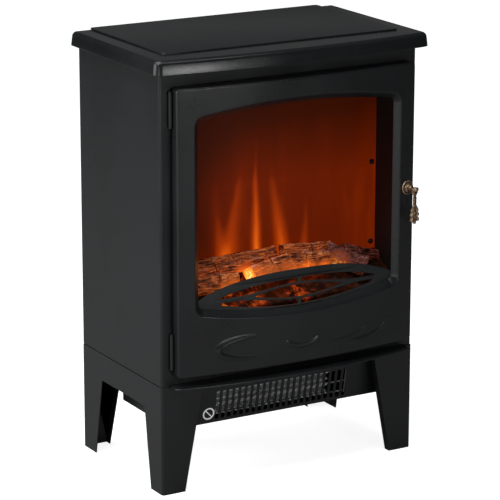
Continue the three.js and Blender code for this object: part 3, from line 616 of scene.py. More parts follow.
def refined(node, material, width):
    """Stands in for a CAD node with the same shape, its facets merged and its edges broken."""
    sharp = 35.0
    same_point, flat = 2e-6, math.radians(0.8)
    source = frame["nodes"][node]
    bm = bmesh.new()
    bm.from_mesh(source.data)
    bmesh.ops.remove_doubles(bm, verts=bm.verts, dist=same_point)
    bmesh.ops.dissolve_limit(bm, angle_limit=flat, verts=bm.verts, edges=bm.edges)
    slot = SLOT_OF_NODE[node]
    material = material or SLOT_MATERIALS[slot]
    piece = piece_from(f"{node}_finish", bm, material, source["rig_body"], sharp, (node,))
    bevel = piece.modifiers.new("broken_edges", "BEVEL")
    bevel.width = width
    bevel.segments = 2
    bevel.limit_method = "ANGLE"
    bevel.angle_limit = math.radians(sharp)
    bevel.use_clamp_overlap = True
    piece.data.set_sharp_from_angle(angle=math.radians(180))
    piece.modifiers.new("even_shading", "WEIGHTED_NORMAL").keep_sharp = True


# ---- Top slab, raised plate and hearth plate ----
def bowed_plan(half, front, back, bow, corner, back_corner, inset=0.0, steps=56, turns=10):
    """A plan outline with a bowed front edge and round corners, `inset` inside its true edge."""
    least = 0.4 * MM
    half, front, back = half - inset, front + inset, back - inset
    corner, back_corner = max(corner - inset, least), max(back_corner - inset, least)

    def front_at(x):
        return front - bow * (1 - (x / half) ** 2)

    slope = math.atan(2 * bow * (half - corner) / half**2)
    reach = half - corner + corner * math.sin(slope)
    across = [reach * (2 * i / steps - 1) for i in range(steps + 1)]
    points = [(x, front_at(x)) for x in across]
    centre_y = front_at(reach) + corner * math.cos(slope)
    for i in range(1, turns + 1):
        turn = slope - math.pi / 2 + (math.pi / 2 - slope) * i / turns
        points.append((half - corner + corner * math.cos(turn), centre_y + corner * math.sin(turn)))
    for s, c in quarter(turns):
        points.append((half - back_corner + back_corner * c, back - back_corner + back_corner * s))
    mirrored = [(-x, y) for x, y in reversed(points[steps + 1 :])]
    return points + mirrored


def at_height(outline, z):
    return [(x, y, z) for x, y in outline]


def edge_profile(bottom, top, lower, upper, steps=6):
    """(inset, z) rows up a plate's edge, rounded by `lower` at the bottom and `upper` at the top."""
    rows = [(lower * (1 - s), bottom + lower * (1 - c)) for s, c in quarter(steps)]
    return rows + [(upper * (1 - c), top - upper * (1 - s)) for s, c in quarter(steps)]


def make_top():
    """The pressed top, its rim leaning in and its underside hollow in the middle, and the plate on it."""
    _, right, most, back, bottom, top = box_of("top_slab")
    bow = 15 * MM
    size = {"half": right, "front": most + bow, "back": back, "bow": bow}
    size |= {"corner": 12 * MM, "back_corner": 9 * MM}
    bm = bmesh.new()
    pocket = 17.5 * MM
    loops = [at_height(bowed_plan(**size, inset=pocket), top - 2 * MM)]
    loops.append(at_height(bowed_plan(**size, inset=pocket), bottom))
    draft = 2.4 * MM
    for inset, z in edge_profile(bottom, top, 1 * MM, 6 * MM, 7):
        leaned = inset + draft * (z - bottom) / (top - bottom)
        loops.append(at_height(bowed_plan(**size, inset=leaned), z))
    skin(bm, loops)
    piece_from("top_slab_pressed", bm, SLAB_PAINT, "cabinet", 38, ("top_slab",))

    _, right, front, back, bottom, top = box_of("top_plate")
    plate = {"half": right, "front": front, "back": back, "bow": 0.0}
    plate |= {"corner": 5 * MM, "back_corner": 5 * MM}
    bm = bmesh.new()
    rows = edge_profile(bottom, top, 0.2 * MM, 0.9 * MM, 4)
    skin(bm, [at_height(bowed_plan(**plate, inset=inset, steps=8, turns=6), z) for inset, z in rows])
    piece_from("top_plate_raised", bm, PAINT, "cabinet", 38, ("top_plate",))


def make_hearth():
    """The bowed plate under the cabinet, whose lip shows below the door."""
    _, right, most, back, bottom, top = box_of("hearth_plate")
    bow = 20 * MM
    size = {"half": right, "front": most + bow, "back": back, "bow": bow}
    size |= {"corner": 9 * MM, "back_corner": 3 * MM}
    bm = bmesh.new()
    rows = edge_profile(bottom, top, 1.2 * MM, 1.45 * MM, 5)
    skin(bm, [at_height(bowed_plan(**size, inset=inset), z) for inset, z in rows])
    piece_from("hearth_plate_lip", bm, PAINT, "cabinet", 50, ("hearth_plate",))


# ---- Door ----
def rounded_loop(half, bottom, top, corner, arch=0.0, along=200, around=9):
    """Points round a panel or opening with round corners and, where arch isn't 0, bowed top and bottom."""
    shoulder = half - corner
    fall = arch * shoulder**2
    points = []
    for i in range(along):
        x = shoulder * (2 * i / along - 1)
        points.append((x, top - arch * x * x))
    for x, z, start in (
        (shoulder, top - fall - corner, math.pi / 2),
        (shoulder, bottom + fall + corner, 0.0),
        (-shoulder, bottom + fall + corner, -math.pi / 2),
        (-shoulder, top - fall - corner, -math.pi),
    ):
        if start == -math.pi / 2:
            for i in range(along):
                across = shoulder * (1 - 2 * i / along)
                points.append((across, bottom + arch * across * across))
        last = start in (0.0, -math.pi)
        for i in range(around + (0 if last else 1)):
            turn = start - math.pi / 2 * i / around
            points.append((x + corner * math.cos(turn), z + corner * math.sin(turn)))
    return points


def inset_loop(size, by):
    """A rounded_loop's points, moved in by a distance."""
    made = dict(size)
    made["half"] -= by
    made["bottom"] += by
    made["top"] -= by
    made["corner"] = max(size["corner"] - by, 1 * MM)
    return rounded_loop(**made)


# The pressed ornament under the window: arcs of ellipses as centre, half axes, angle range in degrees,
# half width and height, in mm, and where across its width the ridge is highest (-1 inside to 1 outside).
EMBOSSED = [
    ((-80, 200.5), (47, 15.5), (75, 285), 4.6, 3.0, -0.55),
    ((88, 207), (54, 22.5), (-100, 4), 3.2, 1.5, 0.2),
    ((56, 206.5), (52, 17.5), (-95, 0), 3.0, 1.3, 0.2),
    ((3, 204), (25, 12), (-172, -8), 4.4, 1.9, 0.5),
]


def emboss(x, z):
    """How far the ornament stands out of the door's face."""
    height = 0.0
    for (cx, cz), (a, b), (start, end), width, tall, crest in EMBOSSED:
        u, w = (x / MM - cx) / a, (z / MM - cz) / b
        r = math.hypot(u, w)
        if r < 0.2:
            continue
        slope = math.hypot(u / a, w / b) / r
        off = (r - 1) / slope
        half = (end - start) / 2
        turn = math.degrees(math.atan2(w, u)) - (start + end) / 2
        turn = (turn + 180) % 360 - 180
        share = abs(turn) / half
        if share >= 1:
            continue
        taper = math.sqrt(1 - share * share)
        across = off / (width * (0.15 + 0.85 * taper))
        if -1 < across <= crest:
            height += tall * taper * math.sin(math.pi / 2 * (across + 1) / (crest + 1))
        elif crest < across < 1:
            height += tall * taper * (1 - (across - crest) / (1 - crest)) ** 1.15
    return height * MM


def make_door():
    """One pressed sheet: rounded outer edge, bowed face with the ornament, and the window's bevel."""
    outer = {"half": DOOR_HALF, "bottom": DOOR_BOTTOM, "top": DOOR_TOP, "corner": DOOR_CORNER}
    edge = 2.6 * MM

    def on_face(points, depth):
        return [(x + DOOR_X, door_face(x + DOOR_X) + depth, z) for x, z in points]

    def on_plane(points, y):
        return [(x + DOOR_X, y, z) for x, z in points]

    loops = [on_plane(inset_loop(outer, 0), DOOR_BACK)]
    for s, c in quarter(6):
        loops.append(on_face(inset_loop(outer, edge * (1 - c)), edge * (1 - s)))
    start, end = inset_loop(outer, edge), inset_loop(WINDOW, -1.5 * MM)
    rings = 72
    for k in range(1, rings):
        share = k / rings
        points = [(a + (c - a) * share, b + (d - b) * share) for (a, b), (c, d) in zip(start, end)]
        face = on_face(points, 0)
        loops.append([(x, y - emboss(x, z), z) for x, y, z in face])
    loops.append(on_face(end, 0))
    soft = 1.5 * MM
    for i in range(1, 4):
        turn = math.pi / 4 * i / 3
        inset, depth = -soft + 1.6 * soft * math.sin(turn), 1.9 * soft * (1 - math.cos(turn))
        loops.append(on_face(inset_loop(WINDOW, inset), depth))
    loops.append(on_face(inset_loop(WINDOW, WINDOW_BEVEL - 0.5 * MM), WINDOW_BEVEL - 0.3 * MM))
    loops.append(on_face(inset_loop(WINDOW, WINDOW_BEVEL), WINDOW_BEVEL + 0.4 * MM))
    loops.append(on_face(inset_loop(WINDOW, WINDOW_BEVEL - 0.2 * MM), WINDOW_BEVEL + 1.2 * MM))
    loops.append(on_face(inset_loop(WINDOW, -1 * MM), DOOR_SHEET + 1.2 * MM))
    loops.append(on_face(inset_loop(outer, DOOR_SHEET + 1.2 * MM), DOOR_SHEET + 0.2 * MM))
    loops.append(on_plane(inset_loop(outer, DOOR_SHEET), DOOR_BACK))
    bm = bmesh.new()
    skin(bm, loops, ring=True)
    piece_from("door_shell_pressed", bm, PAINT, "door", 40, ("door_shell",))


# The grate's outlines: the height of each edge at x from the door's middle line.
def grate_top(x):
    return GRATE_TOP - 26.7 * MM * (abs(x) / (154 * MM)) ** 2.65


def grate_foot(x):
    return WINDOW["bottom"] + WINDOW_BEVEL - 2.4 * MM + WINDOW["arch"] * x * x


def ring_half(x):
    share = abs(x) / (105 * MM)
    return 2.7 * MM + (9.2 * MM * math.cos(math.pi / 2 * share) ** 2 if share < 1 else 0.0)


def eye_half(x):
    return 8.8 * MM * (1 - (x / (70 * MM)) ** 2)


def between(x0, x1, lower, upper, steps):
    """A closed outline, counter-clockwise, between a lower and an upper curve."""
    xs = [(x0 + (x1 - x0) * i / steps) * MM for i in range(steps + 1)]
    low = [(x, lower(x)) for x in xs]
    high = [(x, upper(x)) for x in reversed(xs)]
    return [p for i, p in enumerate(low + high) if i == 0 or math.dist(p, (low + high)[i - 1]) > 0.2 * MM]


def make_grate():
    """The cast grate: a bowed plate with rounded bars, cut through by four slots and an eye."""
    rim = 12 * MM

    def low_rim(x):
        return grate_foot(x) + 4.6 * MM + 4 * MM * (x / (127 * MM)) ** 2

    def high_rim(x):
        return grate_top(x) - rim

    def ring_over(x):
        return GRATE_MIDDLE + ring_half(x)

    def ring_under(x):
        return GRATE_MIDDLE - ring_half(x)

    half = GRATE_HALF / MM
    outlines = [between(-half, half, lambda x: grate_foot(x) - 1 * MM, grate_top, 90)]
    for x0, x1 in ((-124, -3), (3, 124)):
        outlines.append(between(x0, x1, ring_over, high_rim, 40))
    for x0, x1 in ((-120, -3), (3, 120)):
        outlines.append(between(x0, x1, low_rim, ring_under, 40))
    eye = between(-69, 69, lambda x: GRATE_MIDDLE - eye_half(x), lambda x: GRATE_MIDDLE + eye_half(x), 48)
    outlines.append(eye)
    curve = bpy.data.curves.new("grate_outline", "CURVE")
    curve.dimensions = "2D"
    curve.fill_mode = "BOTH"
    round_edge = 1.1 * MM
    curve.bevel_depth = round_edge
    curve.bevel_resolution = 3
    curve.offset = -round_edge
    curve.extrude = GRATE_THICK / 2 - round_edge
    for index, outline in enumerate(outlines):
        points = outline if index == 0 else list(reversed(outline))
        spline = curve.splines.new("POLY")
        spline.points.add(len(points) - 1)
        for point, (x, z) in zip(spline.points, points):
            point.co = (x, z, 0, 1)
        spline.use_cyclic_u = True
    drawn = bpy.data.objects.new("grate_outline", curve)
    scene.collection.objects.link(drawn)
    bpy.context.view_layer.update()
    flat = drawn.evaluated_get(bpy.context.evaluated_depsgraph_get()).to_mesh()
    bm = bmesh.new()
    bm.from_mesh(flat)
    bpy.data.objects.remove(drawn)
    bmesh.ops.remove_doubles(bm, verts=bm.verts, dist=2e-6)
    for vertex in bm.verts:
        x = vertex.co.x + DOOR_X
        y = door_face(x) + GRATE_SET_BACK + GRATE_THICK / 2 - vertex.co.z
        vertex.co = (x, y, vertex.co.y)
    piece_from("door_grate_cast", bm, CAST, "door", 45, ("door_grate",))


# ---- Handle ----
HANDLE_AXIS = joint("handle_swing")[1].normalized()
HANDLE_OUT = Vector((0, 0, 1)).cross(HANDLE_AXIS).normalized()
if HANDLE_OUT.y > 0:
    HANDLE_OUT.negate()
HANDLE_POINT = joint("handle_swing")[0] - HANDLE_OUT * REACH


def make_handle():
    """A bronze drop handle: a stepped rose, a turned neck with a cross pin, and a leaf-shaped drop."""
    out = facing(HANDLE_POINT, HANDLE_OUT)
    bm = bmesh.new()
    rose = [(2.2, 0.5), (9.5, 0.5), (10, 0.9), (10, 1.5), (9.5, 2.1), (8.7, 2.3), (8.1, 2.1), (7.6, 2.0)]
    rose += [(7.1, 2.4), (6.3, 3.0), (5.3, 3.3), (2.2, 3.3)]
    rose = [(r * MM, h * MM) for r, h in rose]
    revolve(bm, rose + [rose[0]], out, 72)
    piece_from("handle_rosette_cast", bm, BRONZE, "door", 45, ("handle_rosette",))

    bm = bmesh.new()
    neck = [(0, 0.5), (1.9, 0.5), (1.9, 3.4), (5.2, 3.5), (5.9, 4.1), (5.9, 5.0), (5.0, 6.2), (4.4, 7.4)]
    neck += [(4.6, 8.2), (4.0, 9.2), (2.9, 10.6), (2.5, 11.8), (2.5, 13.2), (3.1, 14.2), (3.5, 15.6)]
    neck += [(3.4, 17.2), (2.6, 18.8), (1.3, 19.6), (0, 19.8)]
    revolve(bm, [(r * MM, h * MM) for r, h in neck], out, 40)
    pin = facing(joint("handle_swing")[0] - HANDLE_AXIS * 5.6 * MM, HANDLE_AXIS)
    revolve(bm, rounded_rod(1.2 * MM, 0, 11.2 * MM, 0.4 * MM), pin, 20)
    piece_from("handle_post_turned", bm, BRONZE, "door", 45, ("handle_post",))
    make_pendant()


def make_pendant():
    """The drop: two ears on the cross pin, a slim stem, three pairs of leaf lobes and a finial."""
    pivot = joint("handle_swing")[0]
    bm = bmesh.new()
    for side in (-1, 1):
        ear = facing(pivot + HANDLE_AXIS * (side * 4.6 - 0.6) * MM, HANDLE_AXIS)
        washer(bm, ear, [(1.3, 0), (2.3, 0), (2.6, 0.25), (2.6, 0.95), (2.3, 1.2), (1.3, 1.2)], 28)
    # From the yoke down: half width, half depth and height below the pivot, in mm.
    rows = [(5.3, 1.2, 1.5), (5.4, 1.4, 3.4), (5.2, 1.7, 5.0), (3.7, 2.2, 6.4), (2.5, 2.1, 8), (2.4, 2.0, 11)]
    rows += [(3.0, 2.4, 12.2), (2.7, 2.2, 14), (2.7, 2.2, 20), (3.2, 2.4, 26), (3.6, 2.6, 32), (3.0, 2.6, 40)]
    rows += [(2.4, 2.4, 45), (2.9, 2.6, 46.8), (2.2, 2.0, 48.3), (0.9, 0.9, 48.95), (0.05, 0.05, 49)]
    fine = 4
    loops = []
    sides = 40
    for k in range((len(rows) - 1) * fine + 1):
        index, share = divmod(k, fine)
        share = share / fine
        above, below = rows[index], rows[min(index + 1, len(rows) - 1)]
        soft = share * share * (3 - 2 * share)
        wide = above[0] + (below[0] - above[0]) * soft
        deep = above[1] + (below[1] - above[1]) * soft
        down = above[2] + (below[2] - above[2]) * share
        loop = []
        for i in range(sides):
            turn = TURN * i / sides
            across = HANDLE_AXIS * wide * math.cos(turn)
            ahead = HANDLE_OUT * deep * math.sin(turn)
            loop.append(pivot + (across + ahead + Vector((0, 0, -down))) * MM)
        loops.append(loop)
    frame_axes = Matrix((HANDLE_AXIS, HANDLE_OUT, Vector((0, 0, 1)))).transposed().to_4x4()
    drop = [(0, 0), (0.35, 0.06), (0.62, 0.25), (0.86, 0.5), (1, 0.72), (0.9, 0.88), (0.55, 0.97), (0, 1)]
    # A petal's top below the pivot, how far out it starts, its length and radius, and its lean in degrees.
    for down, out, length, radius, lean in (
        (21.5, 1.6, 11, 2.5, 20),
        (27.5, 2.6, 11.5, 2.7, 17),
        (34.0, 3.0, 12, 2.8, 14),
    ):
        for side in (-1, 1):
            place = Matrix.Translation(pivot + (HANDLE_AXIS * side * out + Vector((0, 0, -down))) * MM)
            place = place @ frame_axes @ Matrix.Rotation(math.radians(-side * lean), 4, "Y")
            petal = [(r * radius * MM, -h * length * MM) for r, h in drop]
            revolve(bm, petal, place, 24)
    skin(bm, loops)
    piece_from("handle_pendant_cast", bm, BRONZE, "pendant", 50, ("handle_pendant",))


# ---- Fire ----
# Each log's ends and radius in mm about the cabinet's middle, how square its split section is, how far that
# section is turned (degrees), where a crack crosses it (share of its length) and its material.
LOGS = [
    ("log_front_left", (-168, -94, 280), (-74, -97, 281), 14.5, 0.8, 12, 0.70, BARK),
    ("log_front_centre", (-52, -99, 284), (12, -90, 292), 14, 0.9, 30, 0.55, BARK),
    ("log_middle_centre", (14, -82, 293), (78, -84, 288), 14, 1.0, 8, 0.45, BARK),
    ("log_right", (88, -66, 293), (134, -98, 272), 14, 0.6, 20, 0.5, DARKER_BARK),
    ("log_back_centre", (20, -60.5, 302), (96, -60.5, 296), 10, 0.9, 15, 0.6, BARK),
    ("log_back_left", (-170, -60.5, 294), (8, -60.5, 301), 10, 0.5, 25, 0.62, BARK),
    ("log_middle_left", (-172, -72, 288), (-12, -72, 295), 9.5, 1.0, 5, 0.5, BARK),
    ("log_back_right", (118, -61, 288), (174, -61, 272), 10.5, 0.7, 30, 0.4, DARKER_BARK),
]


def in_cabinet(x, y, z):
    """A point laid out in mm about the cabinet's middle, in the frame."""
    return Vector((x * MM, CABINET_MIDDLE_Y + y * MM, z * MM))


def make_log(name, start, end, radius, square, tilt, crack, material, seed):
    """A resin split log: squarish, with long fibres, raised plates of bark, a crack and square-cut ends."""
    start, end, radius, tilt = in_cabinet(*start), in_cabinet(*end), radius * MM, math.radians(tilt)
    along = (end - start).normalized()
    side = along.cross(Vector((0, 0, 1))).normalized()
    up = side.cross(along)
    length = (end - start).length
    rings, sides = int(length / (1.1 * MM)), 100
    offset = Vector((seed * 7.3, seed * 3.1, seed * 1.7))
    power = 2 + 5 * square
    plates_round = 9

    def surface(share, turn):
        c, s = math.cos(turn - tilt), math.sin(turn - tilt)
        hull = (abs(c) ** power + abs(s) ** power) ** (-1 / power) * (1 - 0.12 * square)
        swell = 1 + 0.10 * noise.noise(offset + Vector((share * length * 30, 0, 0)))
        across = Vector((0, c, s)) * radius
        fibre = noise.fractal(offset + Vector((share * length * 22, 0, 0)) + across * 210, 0.8, 2.0, 4)
        knots = noise.noise(offset + Vector((share * length * 90, 0, 0)) + across * 90)
        cell = Vector((share * length * 52 + 0.4 * knots, turn * plates_round / TURN, seed + 0.5))
        plate = noise.cell(cell) - 0.5
        from_crack = (share - crack) * length + 3 * MM * s * c + 2 * MM * knots
        split = math.exp(-(from_crack / (1.1 * MM)) ** 2)
        return radius * hull * swell + (1.1 * fibre + 0.9 * knots + 0.6 * plate - 3.0 * split) * MM

    def point(share, turn, r, beyond):
        place = start + along * (share * length + beyond)
        return place + side * (r * math.cos(turn)) + up * (r * math.sin(turn))

    turns = [TURN * (i / sides - 0.25) for i in range(sides)]
    cuts = (0.001, 0.2, 0.4, 0.6, 0.8, 0.95)

    def end_face(share, across):
        """Loops over an end at shares of its radius, rough as a saw leaves it."""
        out = 1 if share else -1
        loops = []
        for cut in across:
            loop = []
            for turn in turns:
                spot = Vector((cut * 6 * math.cos(turn), cut * 6 * math.sin(turn), share * 9))
                rough = noise.noise(offset + spot)
                loop.append(point(share, turn, surface(share, turn) * cut, out * (0.9 * rough + 0.3) * MM))
            loops.append(loop)
        return loops

    loops = end_face(0.0, cuts)
    for k in range(rings + 1):
        share = k / rings
        loops.append([point(share, turn, surface(share, turn), 0.0) for turn in turns])
    loops += end_face(1.0, tuple(reversed(cuts)))
    bm = bmesh.new()
    skin(bm, loops)
    piece = piece_from(f"{name}_bark", bm, material, "cabinet", 50, (name,))
    if material is BARK:
        piece.data.materials.append(END_GRAIN)
        for polygon in piece.data.polygons:
            polygon.material_index = int(abs(polygon.normal.dot(along)) > 0.75)


def make_bed():
    """The moulded bed of coals, a lumpy shell that climbs towards the screen, and the lamps under it."""
    left, right, front, back, bottom, top = box_of("ember_bed")
    shape = [(front, bottom), (front, 247 * MM), (front + 16 * MM, 256 * MM)]
    shape += [(front + 38 * MM, 272 * MM), (back, 284 * MM), (back, bottom)]
    path = []
    for (y0, z0), (y1, z1) in zip(shape, shape[1:]):
        count = max(2, round(math.hypot(y1 - y0, z1 - z0) / (1.8 * MM)))
        path += [(y0 + (y1 - y0) * i / count, z0 + (z1 - z0) * i / count) for i in range(count)]
    path.append(shape[-1])
    shell = 2.5 * MM
    inner = []
    for y, z in path:
        inner.append((min(max(y, front + shell), back - shell), z - shell if z > bottom + shell else z))
    columns = 190
    smooth_below = 240 * MM
    loops = []
    for i in range(columns + 1):
        x = left + (right - left) * i / columns
        loop = []
        for y, z in path:
            spot = Vector((x, y, z))
            lump = noise.fractal(spot * 62, 0.8, 2.1, 4) * 3.2 * MM
            lump += (0.5 - noise.cell(spot * 80)) * 1.2 * MM
            free = 0.0 if z < smooth_below else min(1.0, (z - smooth_below) / (8 * MM))
            rise = lump * free * (1.0 if y < back - 3 * MM else 0.2)
            lean = 0.35 * abs(rise) * (y < front + 2 * MM)
            loop.append((x, max(y, front) + lean, min(z + rise - 1.5 * MM * free, top)))
        loop += [(x, y, z - 1.0 * MM if z > bottom else z) for y, z in reversed(inner)]
        loops.append(loop)
    bm = bmesh.new()
    skin(bm, loops)
    piece_from("ember_bed_coals", bm, EMBER, "cabinet", 60, ("ember_bed",))

    left, right, front, back, _, top = box_of("led_board")
    dome = [(0, 0), (3.4, 0), (3.4, 0.5), (2.5, 0.6), (2.3, 1.6), (1.5, 2.4), (0, 2.7)]
    profile = [(r * MM, h * MM) for r, h in dome]
    lamps = 12
    bm = bmesh.new()
    for i in range(lamps):
        x = left + (right - left) * (i + 0.5) / lamps
        revolve(bm, profile, facing((x, (front + back) / 2, top), (0, 0, 1)), 24)
    piece_from("led_lamps", bm, LAMP, "cabinet")


def make_screen():
    """The flame screen: a thin panel with polished edges."""
    bm = bmesh.new()
    low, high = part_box("flame_screen")
    slab_box(bm, low, high, 0.5 * MM)
    piece_from("flame_screen_panel", bm, FLAME, "cabinet", 30, ("flame_screen",))


# ---- Heater ----
def on_grille(x, behind, z):
    """A point laid out upright against the heater box's leaning front: mm across, behind it and up."""
    y, z = behind * MM, z * MM - BOX_BOTTOM
    sine, cosine = math.sin(BOX_LEAN), math.cos(BOX_LEAN)
    return Vector((x * MM, BOX_FRONT + y * cosine - z * sine, BOX_BOTTOM + y * sine + z * cosine))


def make_heater():
    """The guard wires, the finned heating block and the badge behind and beside the outlet grille."""
    half, low, high = 112, 87, 129.5
    behind, wire = 8, 1 * MM
    bm = bmesh.new()
    for share in (0.12, 0.57, 0.94):
        z = high - share * (high - low)
        tube(bm, [on_grille(x, behind, z) for x in (-half, half)], wire)
    for x in (2 - half, half - 2):
        tube(bm, [on_grille(x, behind, z) for z in (low - 1, high + 6)], wire)
    piece_from("guard_wires_drawn", bm, WIRE, "cabinet", 50, ("guard_wires",))

    bm = bmesh.new()
    left, right, front, back = -104, 84, 14, 36
    bars = [(88.5, 90.5), (98, 100), (107.8, 109.8), (117.6, 119.6), (126, 128)]
    for z0, z1 in bars:
        outline = [(front, z0), (front, z1), (back, z1), (back, z0)]
        skin(bm, [[on_grille(x, y, z) for y, z in outline] for x in (left, right)])
    pitch, sheet = 2.6, 0.35
    for (_, z0), (z1, _) in zip(bars, bars[1:]):
        count = int((right - left - 4) / pitch)
        ridge = []
        for i in range(count + 1):
            ridge.append((left + 2 + i * pitch, z0 if i % 2 else z1))
        for (x0, h0), (x1, h1) in zip(ridge, ridge[1:]):
            strip = [(x0 - sheet / 2, h0), (x0 + sheet / 2, h0), (x1 + sheet / 2, h1), (x1 - sheet / 2, h1)]
            skin(bm, [[on_grille(x, y, z) for x, z in strip] for y in (front + 1.5, back - 1)])
    piece_from("heating_element_fins", bm, FIN_STEEL, "cabinet", 30, ("heating_element",))

    bm = bmesh.new()
    toward = Vector((0, -math.cos(BOX_LEAN), -math.sin(BOX_LEAN)))
    ring = facing(on_grille(-115.5, -1.9, 97), toward)
    washer(bm, ring, [(6.9, 0.05), (9, 0.05), (9, 0.25), (6.9, 0.25)], 64)
    bar = bmesh.new()
    slab_box(bar, (-7.6 * MM, -0.7 * MM, 0.06 * MM), (7.6 * MM, 0.7 * MM, 0.24 * MM))
    merge_into(bm, bar, ring @ Matrix.Rotation(math.radians(BADGE_TILT), 4, "Z"))
    piece_from("badge_ring_print", bm, GLOWING_WHITE_PRINT, "cabinet", 30, ("badge_ring",))


# ---- Fasteners ----
def screw_head(bm, place, radius):
    """A low pan head with a cross recess drawn as two shallow grooves."""
    rows = [(0, 0), (radius, 0), (radius, 0.35 * radius), (0.8 * radius, 0.62 * radius)]
    rows += [(0.45 * radius, 0.75 * radius), (0.30 * radius, 0.75 * radius)]
    rows += [(0.16 * radius, 0.4 * radius), (0, 0.4 * radius)]

    def cross(turn, r, height):
        return 1.0 if r > 0.4 * radius or r < 0.01 * MM else 0.55 + 0.75 * abs(math.cos(2 * turn)) ** 3

    revolve(bm, rows, place, 48, cross)


def make_screws():
    """The screws round the back panel's edge, and those that hold the flame screen."""
    left, right, _, back, bottom, top = box_of("back_panel")
    margin = 6 * MM
    spots = []
    for share in (0.02, 0.27, 0.5, 0.73, 0.98):
        spots.append((left + (right - left) * share, top - margin))
        spots.append((left + (right - left) * share, bottom + margin))
    for share in (0.25, 0.5, 0.75):
        for x in (left + margin, right - margin):
            spots.append((x, bottom + (top - bottom) * share))
    bm = bmesh.new()
    for x, z in spots:
        x = min(max(x, left + margin), right - margin)
        screw_head(bm, facing((x, back, z), (0, 1, 0)), 3.2 * MM)
    piece_from("back_panel_screws", bm, ZINC, "cabinet", 40)
    for node in [n for n in frame["nodes"] if n.startswith("screen_screw")]:
        left, right, front, back, bottom, top = box_of(node)
        bm = bmesh.new()
        radius = (right - left) / 2
        x, z = (left + right) / 2, (bottom + top) / 2
        shank = rounded_rod(radius, 0, (back - front) * 0.6, 0.8 * MM)
        revolve(bm, shank, facing((x, back, z), (0, -1, 0)), 32)
        head = facing((x, back - (back - front) * 0.55, z), (0, -1, 0))
        screw_head(bm, head, radius * 0.62)
        piece_from(f"{node}_head", bm, BLACK_PLASTIC, "cabinet", 40, (node,))


# ---- Controls ----
def make_knob():
    """A fluted thermostat knob with a raised pointer, the dots of its dial and the panel's two screws."""
    point, _ = joint("thermostat_turn")
    left, right, front, back, _, _ = box_of("thermostat_knob")
    panel_left, panel_right, face, _, _, _ = box_of("control_panel")
    radius = (right - left) / 2
    skirt = face - 0.8 * MM
    out = facing((point.x, skirt, point.z), (0, -1, 0))
    tall = skirt - front - 1.1 * MM
    bm = bmesh.new()
    rows = [(0, skirt - back), (3 * MM, skirt - back), (3 * MM, 0), (radius, 0), (radius, 1.6 * MM)]
    rows += [(radius - 1.2 * MM, 2.2 * MM), (radius - 1.6 * MM, tall - 2 * MM)]
    rows += [(radius - 2.6 * MM, tall - 0.5 * MM), (radius - 4 * MM, tall), (0, tall)]

    def grip(turn, r, height):
        fluted = 2 * MM < height < tall - 1 * MM and r > 5 * MM
        return 1 + (0.035 * math.cos(24 * turn) if fluted else 0)

    revolve(bm, rows, out, 144, grip)
    slab_box(
        bm,
        (point.x - 0.9 * MM, front, point.z + 1 * MM),
        (point.x + 0.9 * MM, skirt - tall + 0.4 * MM, point.z + radius - 4 * MM),
        0.3 * MM,
    )
    replaced = ("thermostat_knob",)
    piece_from("thermostat_knob_grip", bm, BLACK_PLASTIC, "thermostat", 40, replaced)

    bm = bmesh.new()
    ring = radius + 3.2 * MM
    for i in range(10):
        turn = math.radians(225 - 30 * i)
        size = (0.5 + 0.07 * i) * MM
        x = point.x + math.cos(turn) * ring
        z = point.z + math.sin(turn) * ring
        dot = facing((x, face + 0.1 * MM, z), (0, -1, 0))
        revolve(bm, rounded_rod(size, 0, 0.25 * MM, 0.1 * MM), dot, 16)
    for x in (panel_left + 5 * MM, panel_right - 5 * MM):
        screw_head(bm, facing((x, face, point.z + 20 * MM), (0, -1, 0)), 2.6 * MM)
    piece_from("control_panel_marks", bm, GLOWING_WHITE_PRINT, "cabinet", 40)


# ---- Everything else keeps its CAD shape with softened edges ----
# How wide an edge is broken, in mm, where it isn't the usual width.
USUAL_EDGE = 0.3
FINE_EDGES = {
    "back_panel": 0.25,
    "cord_bushing": 0.5,
    "heater_housing": 0.25,
    "box_bumper": 0.4,
    "fan_motor": 0.6,
    "flame_motor": 0.6,
}
INSIDE = ["firebox_left_wall", "firebox_right_wall", "firebox_top", "firebox_floor"]


def make_rest():
    """Every node that nothing above has replaced."""
    for node in sorted(frame["nodes"]):
        if frame["nodes"][node].hide_render:
            continue
        material = INNER_PAINT if node in INSIDE or node.startswith("hinge") else None
        refined(node, material, FINE_EDGES.get(node, USUAL_EDGE) * MM)


# ---- Studio ----
# The camera's direction from the object and its roll, in degrees, its place in metres and its lens in mm.
AZIMUTH, ELEVATION, ROLL = math.radians(-30.10), math.radians(15.41), math.radians(0.11)
CAMERA_PLACE = (-1.7862, -3.0712, 1.2745)
LENS, SENSOR = 190.04, 36

# Each soft box's name, place, what it faces, its size in metres and its power in watts.
MIDDLE, HIGHER = (0, 0, 0.3), (0, 0, 0.6)
SOFT_BOXES = [
    ("left_box", (-3.2, 0.6, 1.3), MIDDLE, (2.6, 2.4), 62),
    ("left_front_strip", (-1.15, -1.20, 0.40), MIDDLE, (0.6, 0.75), 2.2),
    ("high_left_box", (-1.35, -0.80, 2.2), MIDDLE, (0.4, 0.4), 10),
    ("high_front_strip", (0.45, -0.75, 2.3), MIDDLE, (0.7, 0.2), 2),
    ("front_box", (0.44, -2.7, 0.62), HIGHER, (0.5, 0.4), 8.5),
    ("back_box", (1.6, 2.75, 1.45), HIGHER, (1.8, 0.9), 0.5),
    ("top_box", (-0.8, 0.2, 3.2), MIDDLE, (2.6, 2.6), 56),
]


